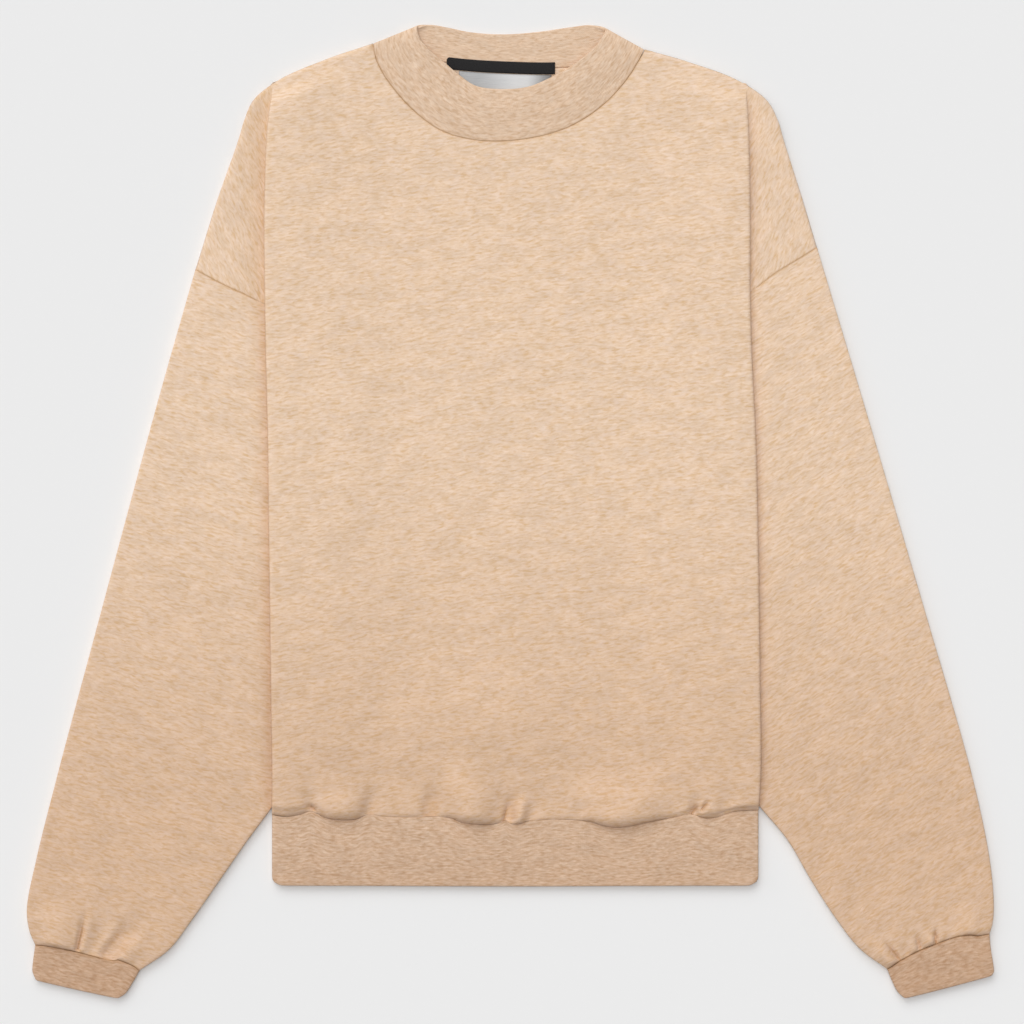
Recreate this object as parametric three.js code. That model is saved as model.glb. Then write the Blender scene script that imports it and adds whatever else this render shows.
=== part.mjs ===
// A crewneck sweatshirt of brushed fleece, laid out flat on its back with the body folded in at both sides,
// so that the dropped shoulders and the sleeves come out from under it. Every piece is a cloth wall of its
// own, and sewn edges stand a hair apart.
// Millimetres. X runs across the garment, Y from the hem up to the neck, Z up from the surface it lies on.
// Left and right are as seen from above. "Out" is the distance from the centre line on either side.
import * as THREE from "three";
import { mergeVertices } from "three/addons/utils/BufferGeometryUtils.js";

const FLEECE = 2.2; // wall of the body and sleeve cloth
const RIB = 2.7; // wall of a doubled rib band
const SEAM_GAP = 0.4; // air between two sewn edges
const SIDE_GAP = 0.8; // air between the side seam and the sleeve beside it
const LAID_HEIGHT = 7.0; // top of two layers of fleece that lie on each other
const EDGE_ROUND = 6.0; // how far in from the outline the cloth curves down
const EDGE_Z = 2.5; // where the front meets the back along the outline
const FOLD_RADIUS = 2.5; // outside of the side fold
const FOLD_NIP = 0.25; // inside of the turn under it
const FOLD_START = 30; // over how much of its length the side fold turns fully under
const HIDDEN_SLANT = 7; // how much lower the hidden end of an armhole lies than the fold there
const NEAR_FOLD = 20; // how far from a fold the rows of the front follow it
const SIDE_LIFT_REACH = 90; // how far in the body slopes down from the layers folded under it
const HEM_HEIGHT = 6.0; // top of the two layers of the hem band
const HEM_OVER = 0.2; // how much higher the body's edge stands at the hem seam
const HEM_LIFT = 2.2; // how much higher the body lies along the hem seam
const HEM_ROUND = { flat: 4, full: 9 }; // over how much cloth the front comes down to the hem seam
const HEM_BOTTOM = -307.5;
const CUFF_HEIGHT = 6.4;
// The strips on the inside of the back: their ends, their edges above and below the neck seam, and their
// undersides.
const NECK_TAPE = { left: -52, right: 37, above: 4.2, below: -5.6, z: 3.1, thickness: 1.0 };
const SIZE_PATCH = { left: -42, right: 31, above: -6.0, below: -44, z: 2.5, thickness: 1.0 };

// The outline from the neck seam to the armhole seam.
const SHOULDER_LINE = [
  { leftOut: 112.3, leftY: 384.2, rightOut: 110.5, rightY: 379.3 },
  { leftOut: 153.3, leftY: 370.2, rightOut: 145.0, rightY: 369.4 },
  { leftOut: 190.2, leftY: 353.8, rightOut: 187.0, rightY: 353.8 },
  { leftOut: 210.7, leftY: 337.4, rightOut: 210.7, rightY: 337.4 },
  { leftOut: 218.1, leftY: 321.0, rightOut: 219.8, rightY: 321.0 },
  { leftOut: 223.0, leftY: 304.6, rightOut: 224.7, rightY: 304.6 },
  { leftOut: 240.3, leftY: 255.4, rightOut: 240.3, rightY: 255.4 },
  { leftOut: 258.1, leftY: 198.5, rightOut: 251.9, rightY: 216.6 },
];
// The outer edge of the sleeve, from the armhole seam to the cuff seam.
const SLEEVE_OUTER = [
  { leftOut: 258.1, leftY: 198.5, rightOut: 251.9, rightY: 216.6 },
  { leftOut: 288.6, leftY: 91.4, rightOut: 289.5, rightY: 91.4 },
  { leftOut: 332.9, leftY: -72.6, rightOut: 337.8, rightY: -72.6 },
  { leftOut: 372.3, leftY: -220.2, rightOut: 380.0, rightY: -220.2 },
  { leftOut: 388.7, leftY: -285.8, rightOut: 393.6, rightY: -285.8 },
  { leftOut: 396.3, leftY: -326.0, rightOut: 396.9, rightY: -322.0 },
  { leftOut: 394.2, leftY: -344.0, rightOut: 396.0, rightY: -337.0 },
  { leftOut: 389.5, leftY: -355.5, rightOut: 393.4, rightY: -346.5 },
];
// The inner edge of the sleeve, hidden under the body as far as the hem and seen from there to the cuff seam.
const SLEEVE_INNER = [
  { leftOut: 171.0, leftY: 156.0, rightOut: 167.0, rightY: 160.0 },
  { leftOut: 169.0, leftY: 60.0, rightOut: 171.0, rightY: 60.0 },
  { leftOut: 166.5, leftY: -100.0, rightOut: 174.5, rightY: -100.0 },
  { leftOut: 171.0, leftY: -185.0, rightOut: 179.0, rightY: -185.0 },
  { leftOut: 181.5, leftY: -220.0, rightOut: 189.0, rightY: -220.0 },
  { leftOut: 195.6, leftY: -243.0, rightOut: 204.4, rightY: -241.5 },
  { leftOut: 215.4, leftY: -270.0, rightOut: 227.6, rightY: -269.4 },
  { leftOut: 237.8, leftY: -302.2, rightOut: 246.8, rightY: -302.2 },
  { leftOut: 260.8, leftY: -335.0, rightOut: 268.1, rightY: -335.0 },
  { leftOut: 279.8, leftY: -359.6, rightOut: 287.0, rightY: -358.8 },
  { leftOut: 303.8, leftY: -376.5, rightOut: 309.5, rightY: -375.5 },
];
// The line along which the body is folded under, from the shoulder to the hem.
const FOLD_LINE = [
  { leftOut: 194.3, leftY: 351.9, rightOut: 193.8, rightY: 350.8 },
  { leftOut: 199.0, leftY: 312.8, rightOut: 195.6, rightY: 312.8 },
  { leftOut: 201.4, leftY: 247.0, rightOut: 196.8, rightY: 247.0 },
  { leftOut: 201.0, leftY: 181.6, rightOut: 196.8, rightY: 181.6 },
  { leftOut: 200.2, leftY: 132.0, rightOut: 198.0, rightY: 132.0 },
  { leftOut: 198.6, leftY: 67.0, rightOut: 201.1, rightY: 67.0 },
  { leftOut: 197.6, leftY: -15.0, rightOut: 203.2, rightY: -15.0 },
  { leftOut: 195.8, leftY: -155.0, rightOut: 205.2, rightY: -155.0 },
  { leftOut: 195.0, leftY: -212.0, rightOut: 205.6, rightY: -212.0 },
  { leftOut: 195.2, leftY: -249.0, rightOut: 203.8, rightY: -246.0 },
];
// The armhole seam, from the outline to its hidden end under the body.
const ARMHOLE = [
  { leftOut: 258.1, leftY: 198.5, rightOut: 251.9, rightY: 216.6 },
  { leftOut: 237.1, leftY: 187.2, rightOut: 236.2, rightY: 206.7 },
  { leftOut: 217.0, leftY: 177.8, rightOut: 219.4, rightY: 196.7 },
  { leftOut: 201.6, leftY: 170.2, rightOut: 202.5, rightY: 184.1 },
  { leftOut: 171.0, leftY: 156.0, rightOut: 167.0, rightY: 160.0 },
];
// The side edges of the cuffs, from the sleeve to the hand.
const CUFF_OUTER = [
  { leftOut: 389.5, leftY: -355.5, rightOut: 393.4, rightY: -346.5 },
  { leftOut: 391.2, leftY: -368.0, rightOut: 394.6, rightY: -359.0 },
  { leftOut: 391.8, leftY: -377.5, rightOut: 396.9, rightY: -374.0 },
  { leftOut: 388.6, leftY: -384.9, rightOut: 394.6, rightY: -381.6 },
];
const CUFF_INNER = [
  { leftOut: 303.8, leftY: -376.5, rightOut: 309.5, rightY: -375.5 },
  { leftOut: 309.4, leftY: -386.4, rightOut: 313.6, rightY: -385.6 },
  { leftOut: 315.2, leftY: -395.2, rightOut: 317.8, rightY: -394.2 },
  { leftOut: 321.4, leftY: -400.0, rightOut: 323.6, rightY: -400.0 },
];
// The neck seam and the neck band's folded top edge, as seen on the band's outer face. Each runs from the
// left shoulder along the front to the right shoulder, and back behind the neck.
const NECK_SEAM = [
  { x: -111.9, y: 383.8, z: 3.2 },
  { x: -110.6, y: 373.6, z: 6.6 },
  { x: -106.0, y: 362.5, z: 7.0 },
  { x: -96.0, y: 347.4, z: 7.0 },
  { x: -79.5, y: 329.2, z: 7.0 },
  { x: -56.0, y: 312.2, z: 7.0 },
  { x: -29.3, y: 304.7, z: 7.0 },
  { x: 0.0, y: 304.0, z: 7.0 },
  { x: 31.0, y: 309.2, z: 7.0 },
  { x: 54.4, y: 318.2, z: 7.0 },
  { x: 77.8, y: 334.4, z: 7.0 },
  { x: 94.5, y: 352.7, z: 7.0 },
  { x: 104.4, y: 367.5, z: 6.6 },
  { x: 110.0, y: 378.9, z: 3.2 },
  { x: 103.0, y: 375.6, z: 0.3 },
  { x: 80.0, y: 368.5, z: 0.0 },
  { x: 40.0, y: 364.6, z: 0.0 },
  { x: 0.0, y: 365.0, z: 0.0 },
  { x: -45.0, y: 368.0, z: 0.0 },
  { x: -80.0, y: 373.8, z: 0.0 },
  { x: -104.0, y: 380.2, z: 0.3 },
];
const NECK_TOP = [
  { x: -75.6, y: 398.6, z: 5.4 },
  { x: -75.8, y: 393.5, z: 8.6 },
  { x: -72.6, y: 386.0, z: 9.0 },
  { x: -66.0, y: 378.6, z: 8.8 },
  { x: -53.0, y: 367.6, z: 8.6 },
  { x: -42.0, y: 358.4, z: 8.4 },
  { x: -28.0, y: 349.2, z: 8.2 },
  { x: -8.0, y: 346.5, z: 8.2 },
  { x: 14.0, y: 348.2, z: 8.2 },
  { x: 35.0, y: 356.8, z: 8.4 },
  { x: 53.0, y: 367.4, z: 8.8 },
  { x: 69.5, y: 380.8, z: 9.0 },
  { x: 76.4, y: 390.5, z: 8.6 },
  { x: 78.2, y: 396.4, z: 5.4 },
  { x: 68.0, y: 399.4, z: 1.6 },
  { x: 50.0, y: 397.6, z: 0.7 },
  { x: 22.0, y: 393.6, z: 0.6 },
  { x: -6.0, y: 391.7, z: 0.6 },
  { x: -32.0, y: 393.4, z: 0.6 },
  { x: -52.0, y: 397.4, z: 0.7 },
  { x: -66.0, y: 399.8, z: 1.6 },
];
// The lower edge of the front where it rolls over the hem band, puffed out between the creases.
const HEM_ROLL = [
  { x: -195.2, y: -248.6 },
  { x: -184.8, y: -250.2 },
  { x: -173.0, y: -248.7 },
  { x: -162.5, y: -246.6 },
  { x: -151.0, y: -251.0 },
  { x: -134.0, y: -253.0 },
  { x: -119.0, y: -248.9 },
  { x: -107.0, y: -249.4 },
  { x: -85.0, y: -250.6 },
  { x: -56.0, y: -250.2 },
  { x: -40.0, y: -255.2 },
  { x: -20.0, y: -256.6 },
  { x: -8.0, y: -254.6 },
  { x: -3.0, y: -250.8 },
  { x: 5.5, y: -256.4 },
  { x: 12.0, y: -253.6 },
  { x: 37.0, y: -252.2 },
  { x: 66.0, y: -254.3 },
  { x: 86.0, y: -259.2 },
  { x: 110.0, y: -255.4 },
  { x: 136.0, y: -250.4 },
  { x: 148.0, y: -248.0 },
  { x: 161.0, y: -251.6 },
  { x: 176.0, y: -248.6 },
  { x: 190.0, y: -245.4 },
  { x: 203.8, y: -244.8 },
];
// The puffs of the front above the hem seam: centre, half width, rise, and how far they run up the cloth.
const HEM_PUFFS = [
  { x: -181, half: 17, rise: 1.2, reach: 24 },
  { x: -137, half: 27, rise: 4.6, reach: 34 },
  { x: -86, half: 30, rise: 0.8, reach: 30 },
  { x: -28, half: 27, rise: 5.2, reach: 40 },
  { x: 6, half: 10, rise: 3.6, reach: 20 },
  { x: 92, half: 56, rise: 5.4, reach: 38 },
  { x: 162, half: 13, rise: 2.6, reach: 16 },
  { x: 191, half: 16, rise: 2.0, reach: 34 },
];
// The gathers of each sleeve above its cuff: place across from the outer edge as a share, half width, rise,
// and how far they run up the sleeve.
const CUFF_GATHERS = {
  left: [
    { at: 0.24, half: 0.27, rise: 4.2, reach: 60 },
    { at: 0.66, half: 0.17, rise: 2.8, reach: 46 },
    { at: 0.9, half: 0.15, rise: 2.4, reach: 60 },
  ],
  right: [
    { at: 0.2, half: 0.24, rise: 3.2, reach: 60 },
    { at: 0.52, half: 0.12, rise: 2.2, reach: 36 },
    { at: 0.7, half: 0.1, rise: 2.6, reach: 34 },
    { at: 0.9, half: 0.13, rise: 3.0, reach: 70 },
  ],
};

// Rows of the front, as distances down from the shoulder: with the dropped shoulder, then with the side seam.
const SHOULDER_ROWS = [0, 1.5, 4, 9, 18, 36, 64, 102, 146, 190];
const BODY_ROWS = [190, 240, 295, 350, 405, 455, 496, 528, 552, 570, 583, 592, 597, 600];
const BODY_LENGTH = 600;
const FLAP_COLUMNS = [0.16, 0.42, 0.68, 0.86, 0.94, 0.98, 1]; // shares of the way out to the outline
const FLAP_CORNER = 0.62; // where the first row of the dropped shoulder meets the outline, as a share of it
const SHOULDER_COLUMNS = 4;
const NECK_COLUMNS = 20;
const BACK_NECK_COLUMNS = 12;
const TURN_STEPS = 4;

const SLEEVE_ROWS = [0, 0.07, 0.18, 0.3, 0.42, 0.54, 0.66, 0.76, 0.84, 0.9, 0.94, 0.97, 0.988, 1];
const SLEEVE_COLUMNS = [0.08, 0.2, 0.33, 0.46, 0.59, 0.71, 0.82, 0.92];
const CUFF_ROWS = [0, 0.3, 0.62, 0.85, 1];
const CUFF_SEAM_BOW = { left: 2, right: 6 }; // how far the seam bows up the sleeve in its middle
const GATHER_ROUND = 8; // over how much cloth a gather comes down to the cuff seam
const HEM_ROWS = [0, 0.3, 0.65, 0.88, 0.97, 1];
const HEM_CORNER = 7;
const SLEEVE_START = 0.3; // over what share of the sleeve its rows come straight after the armhole
const CUFF_APPROACH = 0.7; // from what share of the sleeve on its rows take up the bow of the cuff's seam
const SEAM_SLANT = 1.4; // how much wider a gap is along the sleeve than across its slanting seams
const NECK_BAND_ROWS = [0, 0.35, 0.7, 1];
const NECK_BAND_CROWN = 0.7;
const SHOULDER_BULK = 1.4; // the wider gap round the ends of the shoulder seams
const SHOULDER_BULK_REACH = 0.07; // how far it reaches, as a share of the neck seam
const RIGHT_SHOULDER_ROW = 13; // the row of the neck seam that lies at the right shoulder

const clamp = (x, low, high) => Math.min(Math.max(x, low), high);
const lerp = (a, b, t) => a + (b - a) * t;
// The quarter round: 0 at the edge, 1 from the end of the round inwards.
const quarter = (share) => Math.sqrt(1 - (1 - clamp(share, 0, 1)) ** 2);
// A soft step from 0 at a to 1 at b, and a soft bump that is 1 in the middle and 0 from its half width out.
const step = (a, b, x) => THREE.MathUtils.smoothstep(x, a, b);
const bump = (offset, half) => (1 - clamp((offset / half) ** 2, 0, 1)) ** 2;

// The stretch of a list of points in which a test is first met at its far end.
function stretchOf(list, isPast) {
  const found = list.findIndex(isPast);
  const k = found < 0 ? list.length - 1 : Math.max(found, 1);
  return [list[k - 1], list[k]];
}

// The height of a line of points at a place across, level past its ends.
function heightAt(line, x) {
  const [a, b] = stretchOf(line, (p) => p.x > x);
  return lerp(a.y, b.y, clamp((x - a.x) / (b.x - a.x), 0, 1));
}

// A smooth line through one side's columns of a table. Its points hold the distance out and the height.
class EdgeLine extends THREE.CatmullRomCurve3 {
  constructor(table, name) {
    const points = table.map((row) => new THREE.Vector3(row[name + "Out"], row[name + "Y"], 0));
    super(points, false, "centripetal");
    this.trace = this.getSpacedPoints(160);
  }

  // How far out the line lies at a height up the garment. The line falls all the way.
  outAt(y) {
    const [a, b] = stretchOf(this.trace, (p) => p.y < y);
    return lerp(a.x, b.x, clamp((a.y - y) / (a.y - b.y), 0, 1));
  }
}

const SIDES = ["left", "right"].map((name) => ({
  name,
  sign: name === "left" ? -1 : 1,
  shoulder: new EdgeLine(SHOULDER_LINE, name),
  sleeveOuter: new EdgeLine(SLEEVE_OUTER, name),
  sleeveInner: new EdgeLine(SLEEVE_INNER, name),
  fold: new EdgeLine(FOLD_LINE, name),
  armhole: new EdgeLine(ARMHOLE, name),
  cuffOuter: new EdgeLine(CUFF_OUTER, name),
  cuffInner: new EdgeLine(CUFF_INNER, name),
}));
const [LEFT, RIGHT] = SIDES;

const placed = (side, out, y, z = 0) => new THREE.Vector3(side.sign * out, y, z);
const placedAt = (side, line, share) => {
  const p = line.getPointAt(clamp(share, 0, 1));
  return placed(side, p.x, p.y);
};

// The seam line above the hem band at a place across.
const hemSeam = (x) => heightAt(HEM_ROLL, x);

// A closed cloth wall behind outer faces. Each patch is a grid of points, its rows running down the garment
// and its columns to the right as seen from outside. Patches join where their points are the same. The inner
// face lies a thickness behind the outer one, and no lower than the floor.
function wall(patches, thickness, floor = -Infinity) {
  const positions = [];
  const index = [];
  for (const rows of patches) {
    const first = positions.length / 3;
    const width = rows[0].length;
    rows.flat().forEach((p) => positions.push(p.x, p.y, p.z));
    for (let i = 0; i + 1 < rows.length; i++) {
      for (let j = 0; j + 1 < width; j++) {
        const a = first + i * width + j;
        index.push(a + width, a + width + 1, a + 1, a + width, a + 1, a);
      }
    }
  }
  const loose = new THREE.BufferGeometry();
  loose.setAttribute("position", new THREE.Float32BufferAttribute(positions, 3));
  loose.setIndex(index);
  const outer = mergeVertices(loose, 1e-3);
  const faces = [];
  for (let i = 0; i < outer.index.count; i += 3) {
    const face = [0, 1, 2].map((k) => outer.index.getX(i + k));
    if (new Set(face).size === 3) faces.push(face);
  }
  outer.setIndex(faces.flat());
  outer.computeVertexNormals();
  const count = outer.attributes.position.count;
  const point = new THREE.Vector3();
  const normal = new THREE.Vector3();
  const all = Array.from(outer.attributes.position.array);
  for (let i = 0; i < count; i++) {
    point.fromBufferAttribute(outer.attributes.position, i);
    normal.fromBufferAttribute(outer.attributes.normal, i);
    point.addScaledVector(normal, -thickness);
    all.push(point.x, point.y, Math.max(point.z, floor));
  }
  const edges = new Set(faces.flatMap(([a, b, c]) => [`${a},${b}`, `${b},${c}`, `${c},${a}`]));
  const shell = faces.flatMap(([a, b, c]) => [a, b, c, c + count, b + count, a + count]);
  for (const edge of edges) {
    const [a, b] = edge.split(",").map(Number);
    if (!edges.has(`${b},${a}`)) shell.push(b, a, a + count, b, a + count, b + count);
  }
  const solid = new THREE.BufferGeometry();
  solid.setAttribute("position", new THREE.Float32BufferAttribute(all, 3));
  solid.setIndex(shell);
  solid.computeVertexNormals();
  return solid;
}

const OUTLINES = SIDES.map((side) => side.shoulder.getSpacedPoints(100).map((p) => placed(side, p.x, p.y)));

// The distance from a place on the front to the outline of the shoulders.
function outlineDistance(x, y) {
  const line = OUTLINES[x < 0 ? 0 : 1];
  const at = new THREE.Vector3(x, y, 0);
  const near = new THREE.Vector3();
  const stretch = new THREE.Line3();
  let least = Infinity;
  for (let i = 0; i + 1 < line.length; i++) {
    stretch.set(line[i], line[i + 1]).closestPointToPoint(at, true, near);
    least = Math.min(least, near.distanceTo(at));
  }
  return least;
}

// The top of the front where nothing lifts it: two layers high, rounded down to the seam along the outline.
const laidTop = (x, y) => lerp(EDGE_Z, LAID_HEIGHT, quarter(outlineDistance(x, y) / EDGE_ROUND));

// How much the cloth stands up above the hem seam.
function hemPuff(x, y) {
  const above = y - hemSeam(x);
  const rises = HEM_PUFFS.map((puff) => {
    const upTheCloth = 1 - step(6, 6 + puff.reach, above);
    return puff.rise * bump(x - puff.x, puff.half) * upTheCloth;
  });
  return rises.reduce((sum, rise) => sum + rise, HEM_LIFT * (1 - step(12, 60, above)));
}

// A height on the front, rounded down over its last few millimetres to the top of the hem band.
function roundedToHem(x, y, z) {
  const fullness = Math.max(...HEM_PUFFS.map((puff) => bump(x - puff.x, puff.half)));
  const share = quarter((y - hemSeam(x)) / lerp(HEM_ROUND.flat, HEM_ROUND.full, fullness));
  return Math.min(z, lerp(HEM_HEIGHT + HEM_OVER, z, share));
}

// The section of the side fold. The cloth comes out to the fold line, turns over through an angle, runs back
// in, and turns up again. Each point has its place out from the fold line and its drop below the top.
function foldSection(angle, back, upAgain, upSteps) {
  const start = -FOLD_RADIUS * Math.sin(Math.min(angle, Math.PI / 2));
  const points = [];
  for (let k = 0; k <= TURN_STEPS; k++) {
    const a = (angle * k) / TURN_STEPS;
    points.push({ out: start + FOLD_RADIUS * Math.sin(a), drop: FOLD_RADIUS * (1 - Math.cos(a)) });
  }
  const end = points.at(-1);
  const run = { out: end.out + back * Math.cos(angle), drop: end.drop + back * Math.sin(angle) };
  for (let k = 0; k <= upSteps; k++) {
    const a = angle - (upAgain * k) / upSteps;
    points.push({
      out: run.out + FOLD_NIP * (Math.sin(angle) - Math.sin(a)),
      drop: run.drop + FOLD_NIP * (Math.cos(a) - Math.cos(angle)),
    });
  }
  return points;
}

// The side fold at a distance down from the shoulder. Its depth is how far in the cloth runs under the body
// before it turns: growing from nothing down to the armhole, and below that as far as the sleeve's hidden
// edge.
function sideFold(side, distance, withShoulder) {
  const armholeRow = SHOULDER_ROWS.at(-1);
  const hidden = side.sleeveInner.points[0];
  const top = side.fold.points[0].y;
  const bottom = hemSeam(side.sign * side.fold.points.at(-1).x);
  const armholeY = hidden.y + HIDDEN_SLANT;
  const t = clamp(distance / armholeRow, 0, 1);
  const below = clamp((distance - armholeRow) / (BODY_LENGTH - armholeRow), 0, 1);
  const y = lerp(lerp(top, armholeY, t), bottom, below);
  const foldOut = side.fold.outAt(y);
  const innerDrop = HIDDEN_SLANT * t * (1 - step(0.6, 1, below));
  const inner = side.fold.outAt(armholeY) - hidden.x + SIDE_GAP;
  const turned = FOLD_RADIUS + FOLD_NIP;
  let depth = inner * t ** 1.5;
  let angle = Math.PI * step(0, FOLD_START, distance);
  if (distance > armholeRow) {
    depth = Math.max(foldOut - side.sleeveInner.outAt(y - innerDrop) + SIDE_GAP, 0);
    angle = Math.PI - Math.asin(clamp(1 - depth / turned, 0, 1));
  }
  const back = Math.max(depth - turned, 0);
  const upAgain = withShoulder ? angle : angle - Math.PI / 2;
  const section = foldSection(angle, back, upAgain, withShoulder ? TURN_STEPS : TURN_STEPS / 2);
  const lift = turned * (1 - Math.cos(angle));
  const points = section.map((p) => {
    const inwards = clamp(-p.out / Math.max(inner, 1), 0, 1);
    const place = placed(side, foldOut + p.out, y - innerDrop * inwards);
    place.z = roundedToHem(place.x, place.y, laidTop(place.x, place.y) + lift - p.drop);
    return place;
  });
  return { points, lift, depth };
}

// The dropped shoulder: a patch between the hidden turn, the shoulder's top, the outline and the armhole.
function droppedShoulder(side, folds) {
  const trace = side.shoulder.getSpacedPoints(400);
  const foldShare = trace.findIndex((p) => p.x > side.fold.points[0].x) / 400;
  const corner = placedAt(side, side.shoulder, FLAP_CORNER);
  const outerEnd = placedAt(side, side.armhole, 0);
  const inners = folds.map((fold) => fold.points.at(-1));
  return folds.map((fold, i) => {
    const t = SHOULDER_ROWS[i] / SHOULDER_ROWS.at(-1);
    const outer = placedAt(side, side.shoulder, lerp(FLAP_CORNER, 1, t));
    return FLAP_COLUMNS.map((u) => {
      const top = placedAt(side, side.shoulder, lerp(foldShare, FLAP_CORNER, u));
      const bottom = placedAt(side, side.armhole, 1 - u);
      const p = new THREE.Vector3()
        .addScaledVector(inners[i], 1 - u)
        .addScaledVector(outer, u)
        .addScaledVector(top, 1 - t)
        .addScaledVector(bottom, t)
        .addScaledVector(inners[0], -(1 - u) * (1 - t))
        .addScaledVector(corner, -u * (1 - t))
        .addScaledVector(inners.at(-1), -(1 - u) * t)
        .addScaledVector(outerEnd, -u * t);
      p.z = laidTop(p.x, p.y);
      return p;
    });
  });
}

const NECK = new THREE.CatmullRomCurve3(
  NECK_SEAM.map((row) => new THREE.Vector3(row.x, row.y, row.z)),
  true,
  "centripetal",
);
const NECK_FOLD = new THREE.CatmullRomCurve3(
  NECK_TOP.map((row) => new THREE.Vector3(row.x, row.y, row.z)),
  true,
  "centripetal",
);
const FRONT_NECK_SHARE = RIGHT_SHOULDER_ROW / NECK_SEAM.length;
const NECK_SHARES = [
  ...Array.from({ length: NECK_COLUMNS }, (_, k) => (FRONT_NECK_SHARE * k) / NECK_COLUMNS),
  ...Array.from({ length: BACK_NECK_COLUMNS }, (_, k) => lerp(FRONT_NECK_SHARE, 1, k / BACK_NECK_COLUMNS)),
];
const FRONT_NECK = NECK_SHARES.slice(1, NECK_COLUMNS).map((share) => NECK.getPoint(share));
const BACK_NECK = NECK_SHARES.slice(NECK_COLUMNS + 1).map((share) => NECK.getPoint(share));

// The upper edge of the front between the folds: shoulder, neck seam, shoulder.
function frontTopEdge() {
  const [left, right] = SIDES.map((side) => {
    const trace = side.shoulder.getSpacedPoints(400);
    const foldShare = trace.findIndex((p) => p.x > side.fold.points[0].x) / 400;
    const shares = Array.from({ length: SHOULDER_COLUMNS }, (_, k) => (foldShare * k) / SHOULDER_COLUMNS);
    const shoulder = shares.map((share) => placedAt(side, side.shoulder, share));
    return [...shoulder, placed(side, ...side.fold.points[0])];
  });
  return [...left.reverse(), ...FRONT_NECK, ...right];
}

// The front between the folds, at one row.
function middleRow(distance, leftFold, rightFold, topEdge) {
  const share = distance / BODY_LENGTH;
  const start = leftFold.points[0];
  const end = rightFold.points[0];
  const width = topEdge.at(-1).x - topEdge[0].x;
  return topEdge.slice(1, -1).map((top, k) => {
    const even = (k + 1) / (topEdge.length - 1);
    const across = lerp((top.x - topEdge[0].x) / width, even, step(0, 0.9, share));
    const x = lerp(start.x, end.x, across);
    const heightFrom = (edge, at) => lerp(edge.y, hemSeam(at), share);
    const offLeft = start.y - heightFrom(topEdge[0], start.x);
    const offRight = end.y - heightFrom(topEdge.at(-1), end.x);
    const nearSide = 1 - step(0, NEAR_FOLD, Math.min(x - start.x, end.x - x));
    const y = heightFrom(top, x) + lerp(offLeft, offRight, across) * nearSide;
    const liftFrom = (fold, inwards) => {
      const reach = fold.depth + SIDE_LIFT_REACH;
      return fold.lift * (1 - step(fold.depth, reach, inwards));
    };
    const lift = Math.max(liftFrom(leftFold, x - start.x), liftFrom(rightFold, end.x - x));
    const z = laidTop(x, y) + Math.hypot(lift, hemPuff(x, y));
    return new THREE.Vector3(x, y, roundedToHem(x, y, z));
  });
}

// The front is one cut piece, folded under at both sides. Above the armholes it comes out again as the
// dropped shoulders. Below them it turns down to the side seams.
function front() {
  const topEdge = frontTopEdge();
  const fullRow = (distance, withShoulder) => {
    const folds = SIDES.map((side) => sideFold(side, distance, withShoulder));
    return { folds, middle: middleRow(distance, folds[0], folds[1], topEdge) };
  };
  const upper = SHOULDER_ROWS.map((distance) => fullRow(distance, true));
  const lower = BODY_ROWS.map((distance) => fullRow(distance, false));
  const flaps = SIDES.map((side, k) => droppedShoulder(side, upper.map((row) => row.folds[k])));
  const sideSeam = (fold) => {
    const turned = fold.points.at(-1);
    return [0.5, 1].map((t) => new THREE.Vector3(turned.x, turned.y, lerp(turned.z, EDGE_Z, t)));
  };
  const across = (row, leftEnd, rightEnd) => [
    ...[...row.folds[0].points, ...leftEnd].reverse(),
    ...row.middle,
    ...row.folds[1].points,
    ...rightEnd,
  ];
  return wall(
    [
      upper.map((row, i) => across(row, flaps[0][i], flaps[1][i])),
      lower.map((row) => across(row, sideSeam(row.folds[0]), sideSeam(row.folds[1]))),
    ],
    FLEECE,
    EDGE_Z,
  );
}

// The back lies flat under everything, one plate of cloth with the same shoulders and armholes.
function back() {
  const sideEdge = (side) => {
    const bottom = hemSeam(side.sign * side.fold.points.at(-1).x);
    const top = side.armhole.points.at(-1).y;
    const seamOut = (y) => Math.min(side.sleeveInner.outAt(y), side.fold.outAt(y)) - SIDE_GAP;
    const heights = Array.from({ length: 13 }, (_, k) => lerp(top, bottom, k / 12));
    return heights.map((y) => placed(side, seamOut(y), y));
  };
  const sideOutline = (side) => [
    ...Array.from({ length: 15 }, (_, k) => placedAt(side, side.shoulder, k / 14)),
    placedAt(side, side.armhole, 0.5),
    ...sideEdge(side),
  ];
  const outline = [...sideOutline(LEFT), ...sideOutline(RIGHT).reverse(), ...BACK_NECK];
  const shape = new THREE.Shape(outline.map((p) => new THREE.Vector2(p.x, p.y)));
  return new THREE.ExtrudeGeometry(shape, { depth: FLEECE, bevelEnabled: false });
}

// The section of a flat tube: round at both edges, and flat below.
function tubeSection(width, height, columns) {
  const r = height / 2;
  const turn = Array.from({ length: TURN_STEPS + 1 }, (_, k) => (Math.PI * k) / TURN_STEPS);
  return [
    ...turn.map((a) => ({ across: r - r * Math.sin(a), z: r - r * Math.cos(a) })),
    ...columns.map((share) => ({ across: lerp(r, width - r, share), z: height })),
    ...turn.map((a) => ({ across: width - r + r * Math.sin(a), z: r + r * Math.cos(a) })),
    { across: width / 2, z: 0 },
    { across: r, z: 0 },
  ];
}

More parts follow.
